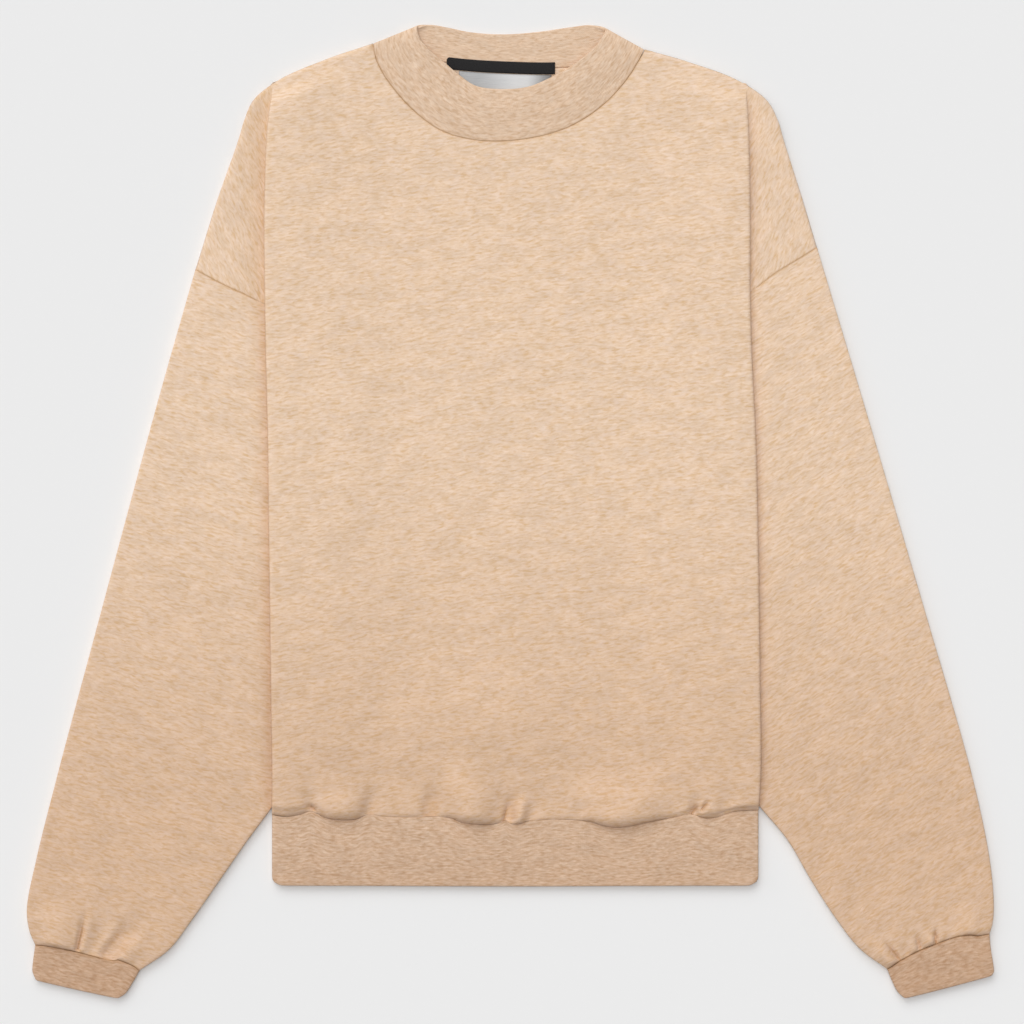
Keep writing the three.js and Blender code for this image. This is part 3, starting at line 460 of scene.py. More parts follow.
def rounded_to_hem(x, y, z):
    """A height on the front, rounded down over its last few millimetres on to the hem band."""
    puffs = [height / FULLEST_PUFF * bump(x - centre, half) for centre, half, height, _ in HEM_PUFFS]
    fullness = np.max(puffs, axis=0)
    above = np.clip((y - hem_seam(x)) / mix(FLAT_ROLL, PUFF_ROLL, fullness), 0, 1)
    share = mix(np.sin(pi / 2 * above), quarter(above), np.clip(PUFF_ROUNDNESS * fullness, 0, 1))
    return np.minimum(z, mix(HEM_HEIGHT - ROLL_SINK, z, share))


TURN_STEPS = 8
SHOULDER_COLUMNS = 34  # columns of the front's grid with the dropped shoulder's grain
FRONT_GRAIN = 7  # degrees
SHOULDER_GRAIN = 66
BACK_GRAIN = 4
SEAM_ROWS = ARMHOLE_ROW - np.array([3.2, 2.5, 1.9, 1.4, 1.0, 0.6, 0.3, 0])  # the last rows before a seam


def sunk_to_fold(side, x, y):
    """How far the cloth beside a side fold sinks towards it, along a parabola. Below the hem seam it
    doesn't."""
    return FOLD_SINK * beside_fold(side, x, y) * step(*HEM_FADE, y) * step(0, 30, side.fold.start[1] - y)


def side_fold(side, distance, with_shoulder):
    """The side fold, a row of points for each distance down from the shoulder. The cloth comes out to
    the fold line, turns over in a round, runs back in under the body, and turns up again in a tight
    round, half way where it goes on to the side seam."""
    hidden = side.sleeve_inner.start
    top = side.fold.start[1]
    bottom = hem_seam(side.sign * side.fold.end[0])
    armhole_y = hidden[1] + HIDDEN_SLANT
    t = np.clip(distance / ARMHOLE_ROW, 0, 1)
    below = np.clip((distance - ARMHOLE_ROW) / (BODY_LENGTH - ARMHOLE_ROW), 0, 1)
    y = mix(mix(top, armhole_y, t), bottom, below)
    fold_out = side.fold.out_at(y)
    inner_drop = HIDDEN_SLANT * t * (1 - step(0.6, 1, below))
    inner = side.fold.out_at(armhole_y) - hidden[0] + SIDE_GAP
    turned = FOLD_RADIUS + FOLD_NIP
    past = distance > ARMHOLE_ROW
    depth_below = np.maximum(fold_out - side.sleeve_inner.out_at(y - inner_drop) + SIDE_GAP, 0)
    depth = np.where(past, depth_below, inner * t**1.5)
    angle_below = pi - np.arcsin(np.clip(1 - depth / turned, 0, 1))
    angle = np.where(past, angle_below, pi * step(0, 30, distance))
    back = np.maximum(depth - turned, 0)
    up_again = angle if with_shoulder else angle - pi / 2
    a = angle[:, None] * np.linspace(0, 1, TURN_STEPS + 1)
    start = -FOLD_RADIUS * np.sin(np.minimum(angle, pi / 2))[:, None]
    out = start + FOLD_RADIUS * np.sin(a)
    drop = FOLD_RADIUS * (1 - np.cos(a))
    run = back[:, None] * np.linspace(0, 1, 4)[1:]
    out = np.concatenate([out, out[:, -1:] + run * np.cos(angle)[:, None]], 1)
    drop = np.concatenate([drop, drop[:, -1:] + run * np.sin(angle)[:, None]], 1)
    ups = np.linspace(0, 1, (TURN_STEPS if with_shoulder else TURN_STEPS // 2) + 1)[1:]
    b = angle[:, None] - up_again[:, None] * ups
    nip_out = FOLD_NIP * (np.sin(angle)[:, None] - np.sin(b))
    nip_drop = FOLD_NIP * (np.cos(b) - np.cos(angle)[:, None])
    out = np.concatenate([out, out[:, -1:] + nip_out], 1)
    drop = np.concatenate([drop, drop[:, -1:] + nip_drop], 1)
    lift = turned * (1 - np.cos(angle))
    inwards = np.clip(-out / inner, 0, 1)
    x = side.sign * (fold_out[:, None] + out)
    y = y[:, None] - inner_drop[:, None] * inwards
    z = rounded_to_hem(x, y, laid_top(x, y) + lift[:, None] - drop)
    return {"points": np.stack([x, y, z], -1), "lift": lift, "depth": depth}


def dropped_shoulder(side, distance, inner_edge, shares):
    """The dropped shoulder, a patch blended from its four edges: the hidden turn, the top of the
    shoulder, the outline and the armhole."""
    t = (distance / ARMHOLE_ROW)[:, None, None]
    u = shares[None, :, None]
    inner = inner_edge[:, None, :2]
    outer = side.place(side.shoulder.at(mix(FLAP_CORNER, 1, distance / ARMHOLE_ROW)))[:, None, :]
    top = side.place(side.shoulder.at(mix(side.fold_share, FLAP_CORNER, shares)))[None]
    bottom = side.place(side.armhole.at(1 - shares))[None]
    corner = side.place(side.shoulder.at(FLAP_CORNER))
    outer_end = side.place(side.armhole.start)
    xy = inner * (1 - u) + outer * u + top * (1 - t) + bottom * t
    xy = xy - inner[:1] * (1 - u) * (1 - t) - corner * u * (1 - t)
    xy = xy - inner[-1:] * (1 - u) * t - outer_end * u * t
    x, y = xy[..., 0], xy[..., 1]
    z = laid_top(x, y) - seam_dip(line_distance(x, y, armholes[side.name]))
    z = z + unevenness(x, y) * step(*SHOULDER_WAVES, x * side.sign)
    z = z - sunk_to_fold(side, x, y) * step(0, 0.1, shares)
    return np.stack([x, y, z], -1)


def front_top_edge(shoulder_columns, neck_columns):
    """The upper edge of the front between the folds: shoulder, neck seam, shoulder."""
    ends = []
    for side in SIDES:
        shares = side.fold_share * np.arange(shoulder_columns) / shoulder_columns
        edge = side.place(side.shoulder.at(shares))
        ends.append(np.concatenate([edge, [side.place(side.fold.start)]]))
    x = np.linspace(ends[0][0, 0], ends[1][0, 0], neck_columns + 1)[1:-1]
    neck = np.stack([x, np.interp(x, np.maximum.accumulate(neck_line[:, 0]), neck_line[:, 1])], -1)
    return np.concatenate([ends[0][::-1], neck, ends[1]])


def crowded(count):
    """Shares of the width for the columns along the hem, closer together where creases are."""
    x = np.linspace(-LEFT.fold.end[0], RIGHT.fold.end[0], 800)
    density = 1 + sum(extra * bump(x - centre, half) for centre, half, extra in CREASE_COLUMNS)
    total = np.concatenate([[0], np.cumsum(density[1:])])
    places = np.interp(np.linspace(0, total[-1], count + 1), total, x)
    return (places - x[0]) / (x[-1] - x[0])


def front_middle(distance, left, right, top_edge):
    """The front between the folds. Each place lies on a straight line from the top edge to the hem
    seam, and its height adds the lift of the folded sides, the puffs and the creases."""
    share = (distance / BODY_LENGTH)[:, None]
    start, end = left["points"][:, 0], right["points"][:, 0]
    count = len(top_edge) - 1
    even = crowded(count)[1:-1]
    by_top = (top_edge[1:-1, 0] - top_edge[0, 0]) / (top_edge[-1, 0] - top_edge[0, 0])
    across = mix(by_top, even, step(0, 0.9, share))
    x = mix(start[:, :1], end[:, :1], across)
    near_side = 1 - step(0, 20, np.minimum(x - start[:, :1], end[:, :1] - x))
    shifts = [
        fold[:, 1:2] - mix(top_edge[corner, 1], hem_seam(fold[:, :1]), share)
        for fold, corner in ((start, 0), (end, -1))
    ]
    y = mix(top_edge[1:-1, 1], hem_seam(x), share) + mix(*shifts, across) * near_side
    lifts = [
        fold["lift"][:, None] * (1 - step(0, 1, (inwards - fold["depth"][:, None]) / SIDE_LIFT_REACH))
        for fold, inwards in ((left, x - start[:, :1]), (right, end[:, :1] - x))
    ]
    rise = np.hypot(np.maximum(*lifts), hem_puff(x, y))
    inside = step(0, 14, np.minimum(x - start[:, :1], end[:, :1] - x))
    rise = rise + (relief(x, y, FRONT_CREASES, FRONT_DENTS) + unevenness(x, y)) * inside
    z = laid_top(x, y) + np.maximum(rise, -FRONT_DEEPEST) - seam_dip(line_distance(x, y, neck_line))
    return np.stack([x, y, rounded_to_hem(x, y, z)], -1)


def turned_grain(grid, degrees):
    """The direction of the heather, as places in the plane turned so that its streaks run along the
    first."""
    c, s = cos(radians(degrees)), sin(radians(degrees))
    x, y = grid[..., 0], grid[..., 1]
    return np.stack([x * c + y * s, -x * s + y * c], -1)


def front_patches():
    """The front as two grids that join along the row of the armholes' hidden ends."""
    upper = np.concatenate([np.linspace(0, 10, 12), np.linspace(13, 186, 44), SEAM_ROWS])
    lower = np.concatenate([np.linspace(ARMHOLE_ROW, 530, 66), np.linspace(531.5, 596, 46),
                            BODY_LENGTH - ARMHOLE_ROW + SEAM_ROWS])
    top_edge = front_top_edge(24, 108)
    flap_shares = np.concatenate([np.linspace(0, 0.86, 22)[1:], np.linspace(0.87, 1, 11)])
    patches = []
    for distance, with_shoulder in ((upper, True), (lower, False)):
        folds = [side_fold(side, distance, with_shoulder) for side in SIDES]
        middle = front_middle(distance, *folds, top_edge)
        ends = []
        for side, fold in zip(SIDES, folds):
            points = fold["points"]
            if with_shoulder:
                flap = dropped_shoulder(side, distance, points[:, -1], flap_shares)
                points = np.concatenate([points, flap], 1)
            else:
                seam = np.repeat(points[:, -1:], 5, 1)
                seam[..., 2] = mix(seam[..., 2], EDGE_Z, np.linspace(0.2, 1, 5))
                points = np.concatenate([points, seam], 1)
            ends.append(points)
        grid = np.concatenate([ends[0][:, ::-1], middle, ends[1]], 1)
        grain = turned_grain(grid, FRONT_GRAIN)
        if with_shoulder:
            ends = slice(0, SHOULDER_COLUMNS), slice(-SHOULDER_COLUMNS, None)
            for side, columns in zip(SIDES, ends):
                grain[:, columns] = turned_grain(grid[:, columns], side.sign * SHOULDER_GRAIN)
        patches.append((grid, grain))
    return patches


def tube_section(height, top_count, turn_count, bottom_count):
    """The section of a flat tube, a squarish round at each edge, a flat top and a flat bottom: for each
    point, how far in from an edge it lies, which edge or share of the width it counts from, and its
    height."""
    r = height / 2
    turn = np.linspace(0, pi, turn_count + 1)
    bulge = np.sin(turn) ** 0.5
    rise = r - r * np.sign(np.cos(turn)) * np.abs(np.cos(turn)) ** 0.5
    top = np.linspace(0, 1, top_count + 2)[1:-1]
    bottom = np.linspace(1, 0, bottom_count + 2)[1:]
    insets = r * np.concatenate([1 - bulge, 1 - 2 * top, bulge - 1, 1 - 2 * bottom])
    shares = np.concatenate([0 * turn, top, 0 * turn + 1, bottom])
    z = np.concatenate([rise, 0 * top + height, height - rise, 0 * bottom])
    return insets, shares, z


def flat_tube(side, outer, inner, rows, height, shift, bend, lift):
    """A flat tube between an outer and an inner edge line, a ring of points for each share down them.
    It is moved down the sleeve by the shift, bent in the plane, and its top is raised by the lift."""
    inset, widths, z = tube_section(height, 62, 10, 16)
    a = side.place(outer.at(rows))[:, None, :]
    b = side.place(inner.at(rows))[:, None, :]
    width = np.linalg.norm(b - a, axis=-1)
    u = widths + inset / width
    t = rows[:, None]
    way = side.sleeve_outer.end - side.sleeve_outer.start
    way = side.place(way / np.linalg.norm(way))
    xy = mix(a, b, u[..., None]) + shift * way + bend(u, t)
    on_top = step(height / 2, height, z)
    top = z + on_top * lift(u, t, xy[..., 0], xy[..., 1])
    grid = np.concatenate([xy, top[..., None]], -1)
    return grid if side is LEFT else grid[:, ::-1]


def sleeve_grid(side):
    """A sleeve: a flat tube whose start follows the armhole and whose end follows the cuff seam, with
    gathers that come down in a quarter round to the cuff."""
    stretches = [(0, 0.0055, 9), (0.012, 0.84, 92), (0.844, 0.985, 50), (0.987, 0.994, 6), (0.995, 1, 8)]
    rows = np.concatenate([np.linspace(*stretch) for stretch in stretches])
    length = side.sleeve_outer.length

    def bend(u, t):
        chord = mix(side.armhole.start, side.armhole.end, u[..., None])
        to_armhole = side.place(side.armhole.at(u) - chord) * (1 - step(0, 0.3, t))[..., None]
        bow = seam_bow(side, u) * step(0.7, 1, t)
        return to_armhole + np.stack([0 * bow, bow], -1)

    def lift(u, t, x, y):
        above = (1 - t) * length
        full = relief(x, y, SLEEVE_CREASES[side.name], SLEEVE_DENTS[side.name]) + unevenness(x, y)
        full = full * step(*SLEEVE_WAVES, t * length) * step(0, 10, above + SLEEVE_ROLL)
        for at, half, rise, reach in CUFF_GATHERS[side.name]:
            full = full + rise * bump(u - at, half) * (1 - step(3, reach, above))
        full = np.maximum(full - sunk_to_fold(side, x, y), -SLEEVE_DEEPEST)
        at_cuff = CUFF_HEIGHT - CUFF_STEP - LAID_HEIGHT
        return mix(at_cuff, full, quarter(above / SLEEVE_ROLL)) - seam_dip(t * length)

    edges = side.sleeve_outer, side.sleeve_inner
    return flat_tube(side, *edges, rows, LAID_HEIGHT, SLEEVE_SHIFT, bend, lift)


def normals_of(ring):
    """The unit normals of a closed ring of columns, from the cross product of its steps across and
    down."""
    inner = ring[:, :-1]
    across = np.roll(inner, -1, 1) - np.roll(inner, 1, 1)
    across = np.concatenate([across, across[:, :1]], 1)
    normal = np.cross(np.gradient(ring, axis=0), across)
    return normal / np.maximum(np.linalg.norm(normal, axis=-1, keepdims=True), 1e-9)


def folded_band(grid, thickness, fold_at_end):
    """A doubled band round a closed ring of columns. The outer layer runs down the rows, turns over in
    a round at the folded edge, and comes back a thickness behind."""
    outer = grid if fold_at_end else grid[::-1]
    normal = normals_of(grid)
    normal = normal if fold_at_end else normal[::-1]
    r = thickness / 2
    edge, edge_normal = outer[-1], normal[-1]
    way = edge - outer[-2]
    way = way / np.linalg.norm(way, axis=-1, keepdims=True)
    turn = np.linspace(0, pi, 11)[1:-1, None, None]
    round_edge = edge - edge_normal * r + edge_normal * r * np.cos(turn) + way * r * np.sin(turn)
    inner = (outer - thickness * normal)[::-1]
    loop = np.concatenate([outer, round_edge, inner, outer[:1]])
    return loop if fold_at_end else loop[::-1]


def band_grain(loop):
    """Lengths along the ring and across the band, so that streaks run along the ring."""
    along = np.linalg.norm(np.diff(loop, axis=1), axis=-1)
    along = np.concatenate([np.zeros((len(loop), 1)), np.cumsum(along, 1)], 1).mean(0)
    across = np.linalg.norm(np.diff(loop, axis=0), axis=-1).mean(1)
    across = np.concatenate([[0], np.cumsum(across)])
    return np.stack(np.meshgrid(along, across), -1)


def cuff_grid(side):
    """A cuff: a flat tube of rib between its side edges, its seam bowed as the sleeve's end is."""
    rows = np.concatenate([np.linspace(0, 0.12, 9), np.linspace(0.16, 1, 20)])
    depth = side.cuff_outer.length

    def bend(u, t):
        bow = seam_bow(side, u) * (1 - t)
        return np.stack([0 * bow, bow], -1)

    def lift(u, t, x, y):
        return unevenness(x, y, 0.08) - seam_dip(t * depth)

    return flat_tube(side, side.cuff_outer, side.cuff_inner, rows, CUFF_HEIGHT, CUFF_SHIFT, bend, lift)


def hem_grid():
    """The hem band: a flat tube of rib across the garment, its front edge along the seam under the
    puffs, and its lower corners rounded."""
    left, right = -LEFT.fold.end[0] - SEAM_GAP, RIGHT.fold.end[0]
    inset, widths, z = tube_section(HEM_HEIGHT, 190, 10, 60)
    rows = np.concatenate([np.linspace(0, 0.06, 9), np.linspace(0.09, 1, 24)])[:, None]
    band = hem_seam(left) - HEM_BOTTOM
    in_corner = np.clip(rows * band - (band - HEM_CORNER), 0, HEM_CORNER)
    corner = HEM_CORNER - np.sqrt(HEM_CORNER**2 - 0.97 * in_corner**2)
    x = left + corner + inset + widths * (right - left - 2 * corner)
    back_seam = mix(hem_seam(left), hem_seam(right), (x - left) / (right - left))
    seam = mix(back_seam, hem_seam(x), step(HEM_HEIGHT * 0.3, HEM_HEIGHT * 0.8, z)) - SEAM_GAP
    y = mix(seam, HEM_BOTTOM + 1.2, rows)
    on_top = step(HEM_HEIGHT / 2, HEM_HEIGHT, z)
    folds = relief(x, y, [], HEM_DENTS) + unevenness(x, y, 0.1)
    top = z + on_top * (folds - seam_dip(seam - y))
    return np.stack([x, y, top], -1)


def neck_grid():
    """The neck band: a ring of rib, straight from its folded top to the neck seam, and a little crowned
    in front."""
    end = len(NECK_SEAM)
    behind = np.linspace(RIGHT_SHOULDER_ROW, end, 151)[1:]
    share = np.concatenate([np.linspace(0, RIGHT_SHOULDER_ROW, 250), behind])
    seam = through(NECK_SEAM, share, closed=True)
    top = through(NECK_TOP, share, closed=True)
    is_front = share <= RIGHT_SHOULDER_ROW
    to_shoulder = np.min([share, np.abs(share - RIGHT_SHOULDER_ROW), end - share], axis=0) / end
    on_front = np.where(is_front, 1 - bump(to_shoulder, 0.07), 0)
    seam[:, 2] = np.where(is_front, laid_top(seam[:, 0], seam[:, 1]), seam[:, 2])
    gap = SEAM_GAP + SHOULDER_BULK * bump(to_shoulder, 0.07)
    length = np.linalg.norm(top - seam, axis=1)
    seam, top = mix(seam, top, (gap / length)[:, None]), mix(top, seam, (RIB / 2 / length)[:, None])
    s = np.concatenate([np.linspace(0, 0.93, 26), np.linspace(0.945, 1, 6)])[:, None]
    grid = mix(top[None], seam[None], s[..., None])
    grid[..., 2] += NECK_CROWN * np.sin(pi * s) * on_front - on_front * seam_dip((1 - s) * length)
    grid[..., 2] = np.maximum(grid[..., 2], 0)
    return grid


back_neck = through(NECK_SEAM, np.linspace(20.5, 14.5, 60), closed=True)


def strip_grid(left, right, above, below, low, high, crown, corner):
    """A strip of tape on the inside of the back, its long edges along the neck seam and its faces
    closed round its edges. The crown bows its top up across its width. Its left corners are rounded."""
    t = np.array([0, 0.02, 0.06, *np.linspace(0.12, 0.88, 12), 0.94, 0.98, 1])[:, None]
    straight = np.linspace(left + corner, right, 90)
    x = np.concatenate([np.linspace(left, left + corner, 16)[:-1], straight])[None]
    t = 0.5 + (t - 0.5) * mix(1 - 2 * corner / (above - below), 1, quarter((x - left) / corner))
    edge = np.minimum(step(-0.001, 0.06, t), step(-0.001, 0.06, 1 - t)) * np.minimum(
        step(-0.2, 1.2, x - left), step(-0.2, 1.2, right - x))
    y = np.interp(x, back_neck[:, 0], back_neck[:, 1]) + mix(above, below, t)
    top = mix(mix(low, high, 0.35), high, edge) + crown * np.sin(pi * t) * edge
    upper = np.stack([x + 0 * t, y, top], -1)
    lower = np.stack([x + 0 * t, y, low + 0 * top], -1)
    ring = np.concatenate([upper, lower[::-1], upper[:1]])
    sides = [np.stack([upper[:, k], lower[:, k]], 1) for k in (0, -1)]
    return [ring, sides[0][:, ::-1], sides[1]]


def back_grid():
    """The back: a plate of cloth with rounded edges, a ring of points for each place down its sides.
    Its top edge sags to the neck seam."""
    sides = []
    for side in SIDES:
        bottom = hem_seam(side.sign * side.fold.end[0])
        y = np.linspace(side.armhole.end[1], bottom, 60)
        out = np.minimum(side.sleeve_inner.out_at(y), side.fold.out_at(y)) - SIDE_GAP
        outline = [side.shoulder.at(np.linspace(0, 1, 60)), side.armhole.at(np.array([0.25, 0.5])),
                   np.stack([out, y], -1)]
        sides.append(side.place(np.concatenate(outline)))
    left, right = sides
    inset, widths, z = tube_section(BACK_THICKNESS, 120, 8, 20)
    width = np.linalg.norm(right - left, axis=-1)[:, None]
    u = widths + inset / width
    xy = mix(left[:, None], right[:, None], u[..., None])
    down = np.linspace(0, 1, len(left))[:, None]
    neck = np.interp(xy[..., 0], back_neck[:, 0], back_neck[:, 1])
    sag = mix(left[0, 1], right[0, 1], u) - neck
    xy[..., 1] -= sag * (1 - step(0, 0.5, down))
    edge = quarter(np.minimum(left[:1, 1] - left[:, 1], left[:, 1] - left[-1, 1]) / 1.1)[:, None]
    height = BACK_THICKNESS / 2 + (z - BACK_THICKNESS / 2) * edge
    return np.concatenate([xy, height[..., None]], -1)


def make_cloth(name, patches, finish, thickness=0.0, thin_at=()):
    """One mesh from grids of points, each with its grain, in millimetres. Rows run down and columns to
    the right as seen from outside. Grids and ring ends join where their points meet. A thickness adds a
    wall behind, thinned within a few millimetres of the given places."""
    positions, quads, grains, first = [], [], [], 0
    for grid, grain in patches:
        rows, columns = grid.shape[:2]
        index = first + np.arange(rows * columns).reshape(rows, columns)
        quad = np.stack([index[1:, :-1], index[1:, 1:], index[:-1, 1:], index[:-1, :-1]], -1)
        positions.append(grid.reshape(-1, 3))
        grains.append(grain.reshape(-1, 2))
        quads.append(quad.reshape(-1, 4))
        first += rows * columns
    points = np.concatenate(positions) * MM
    quads = np.concatenate(quads)
    grain = np.concatenate(grains)[quads.ravel()]
    mesh = bpy.data.meshes.new(name)
    mesh.vertices.add(len(points))
    mesh.vertices.foreach_set("co", points.ravel())
    mesh.loops.add(quads.size)
    mesh.loops.foreach_set("vertex_index", quads.ravel())
    mesh.polygons.add(len(quads))
    mesh.polygons.foreach_set("loop_start", np.arange(0, quads.size, 4))
    mesh.update(calc_edges=True)
    mesh.uv_layers.new(name="Grain").data.foreach_set("uv", grain.ravel())
    work = bmesh.new()
    work.from_mesh(mesh)
    bmesh.ops.remove_doubles(work, verts=work.verts, dist=JOIN_DISTANCE)
    work.to_mesh(mesh)
    work.free()
    places = np.empty(3 * len(mesh.vertices))
    mesh.vertices.foreach_get("co", places)
    x, y = places.reshape(-1, 3).T[:2] / MM
    # Painted shade along the seams and beside the side folds, kept on the points.
    mesh.attributes.new("Seam", "FLOAT", "POINT").data.foreach_set("value", painted_seam_fold_shade(x, y))
    mesh.polygons.foreach_set("use_smooth", np.ones(len(mesh.polygons), bool))
    mesh.materials.append(finish)
    piece = bpy.data.objects.new(name, mesh)
    bpy.context.collection.objects.link(piece)
    if thickness:
        wall = piece.modifiers.new("Wall", "SOLIDIFY")
        if len(thin_at):
            away = np.linalg.norm(np.stack([x, y], -1)[:, None] - thin_at, axis=-1).min(1)
            group = piece.vertex_groups.new(name="Full wall")
            group.add(np.flatnonzero(away > THIN_REACH).tolist(), 1.0, "REPLACE")
            wall.vertex_group = group.name
            wall.thickness_vertex_group = THIN_SHARE
        wall.thickness = thickness * MM
        wall.offset = -1
        wall.use_rim = True
    return piece


class Term:
    """A socket in a material. Python's operators add Math nodes to it."""

    def __init__(self, finish, socket):
        self.finish, self.socket = finish, socket

    def math(self, operation, a, b):
        return self.finish.node("ShaderNodeMath", {"operation": operation}, {0: a, 1: b})

    def __add__(self, other):
        return self.math("ADD", self, other)

    def __sub__(self, other):
        return self.math("SUBTRACT", self, other)

    def __rsub__(self, other):
        return self.math("SUBTRACT", other, self)

    def __mul__(self, other):
        return self.math("MULTIPLY", self, other)

    __radd__ = __add__
    __rmul__ = __mul__


def linear(*srgb):
    """A colour of the photograph, 0 to 255 a channel, as the light that it stands for."""
    c = np.array(srgb) / 255
    return (*np.where(c <= 0.04045, c / 12.92, ((c + 0.055) / 1.055) ** 2.4), 1.0)


class Finish:
    """One material and its nodes."""

    def __init__(self, name, fixed):
        self.material = bpy.data.materials.new(name)
        self.material.use_nodes = True
        self.tree = self.material.node_tree
        self.shader = self.tree.nodes["Principled BSDF"]
        for socket, value in fixed.items():
            self.shader.inputs[socket].default_value = value

    def node(self, kind, settings=None, inputs=None, output=0):
        """Adds a node of a kind, with its settings and its inputs, which are values or terms."""
        made = self.tree.nodes.new(kind)
        for key, value in (settings or {}).items():
            setattr(made, key, value)
        for key, value in (inputs or {}).items():
            if isinstance(value, Term):
                self.tree.links.new(value.socket, made.inputs[key])
            else:
                made.inputs[key].default_value = value
        return Term(self, made.outputs[output])

    def feed(self, socket, term):
        """Links a term to a socket of the shader."""
        self.tree.links.new(term.socket, self.shader.inputs[socket])

    def grain(self, wander=0.0):
        """The lengths along and across the grain, which may wander slowly to either side."""
        straight = self.node("ShaderNodeUVMap", {"uv_map": "Grain"})
        if not wander:
            return straight
        inputs = {"Vector": straight, "Scale": 0.07, "Detail": 1.0}
        slow = self.node("ShaderNodeTexNoise", inputs=inputs, output=1)
        return self.node("ShaderNodeVectorMath", {"operation": "MULTIPLY_ADD"},
                         {0: slow, 1: (wander, wander, 0), 2: straight})

    def place(self):
        """The place on the object, in metres."""
        return self.node("ShaderNodeTexCoord", output=3)

    def streaks(self, along, across, shift, detail=2.0, wander=0.0):
        """Noise drawn out along the grain, by its lengths in millimetres."""
        inputs = {0: self.grain(wander), 1: (1 / along, 1 / across, 0), 2: (shift, shift * 1.7, shift)}
        scaled = self.node("ShaderNodeVectorMath", {"operation": "MULTIPLY_ADD"}, inputs)
        inputs = {"Vector": scaled, "Scale": 1.0, "Detail": detail, "Distortion": 0.4}
        return self.node("ShaderNodeTexNoise", inputs=inputs)

    def between(self, term, low, high):
        """A soft step of a term: 0 up to low, 1 from high."""
        return self.node("ShaderNodeMapRange", {"interpolation_type": "SMOOTHSTEP"},
                         {"Value": term, "From Min": low, "From Max": high})

    def blend(self, factor, a, b):
        """Colour a where the factor is 0, and b where it is 1."""
        return self.node("ShaderNodeMix", {"data_type": "RGBA"}, {0: factor, 6: a, 7: b}, output=2)

    def pinches(self):
        """1 along each pinched crease and 0 beside it, on the upper side. Across it falls as a
        parabola, and it fades along its last half."""
        at = self.place()
        x, y, z = (self.node("ShaderNodeSeparateXYZ", inputs={0: at}, output=k) for k in range(3))
        total = 0.0
        for x0, y0, x1, y1, half, depth in PINCHES:
            length = np.hypot(x1 - x0, y1 - y0)
            c, s = (x1 - x0) / length, (y1 - y0) / length
            along = x * c + y * s - (x0 * c + y0 * s) * MM
            across = (x * s - y * c - (x0 * s - y0 * c) * MM) * (1 / (half * MM))
            settings = {"operation": "SUBTRACT", "use_clamp": True}
            line = self.node("ShaderNodeMath", settings, {0: 1.0, 1: across * across})
            fading = 1 - self.between(along, 0.4 * length * MM, length * MM)
            total = total + line * fading * self.between(along, -0.5 * MM, 0.0) * depth
        low, high = PINCH_LAYER
        return total * self.between(z, low * MM, high * MM)

    def raise_by(self, height, distance):
        """Bumps the surface up by a height term, at a distance in metres."""
        self.feed("Normal", self.node("ShaderNodeBump", inputs={"Height": height, "Distance": distance}))


CLOTH_SURFACE = {"Specular IOR Level": 0.18, "Sheen Weight": 0.12, "Sheen Roughness": 0.6}
PAINTED_LOW_SHADE = (0.85, 0.785, 0.735, 1)  # painted shade, where less light falls: the colour multiplied in towards the hem
# The colour of the painted shade multiplied in along seams, beside side folds and in pinched creases.
SHADE_BROWN = (0.80, 0.70, 0.56, 1)
NAP_HEIGHT = 0.00022
# The cream, rose and tan streaks of yarn, as length, width, shift of the noise, detail.
YARN_STREAKS = [(6.6, 2.0, 3.1, 3.0), (5.2, 1.7, 17.3, 2.0), (6.6, 1.8, 41.9, 3.0)]
STREAK_FULL = 0.76  # the noise at which a streak has its full colour
RIDGE_HEIGHT = 0.08
PINCH_BUMP = 2.5
PINCH_LAYER = (3.0, 4.5)  # heights in millimetres between which the upper layer starts


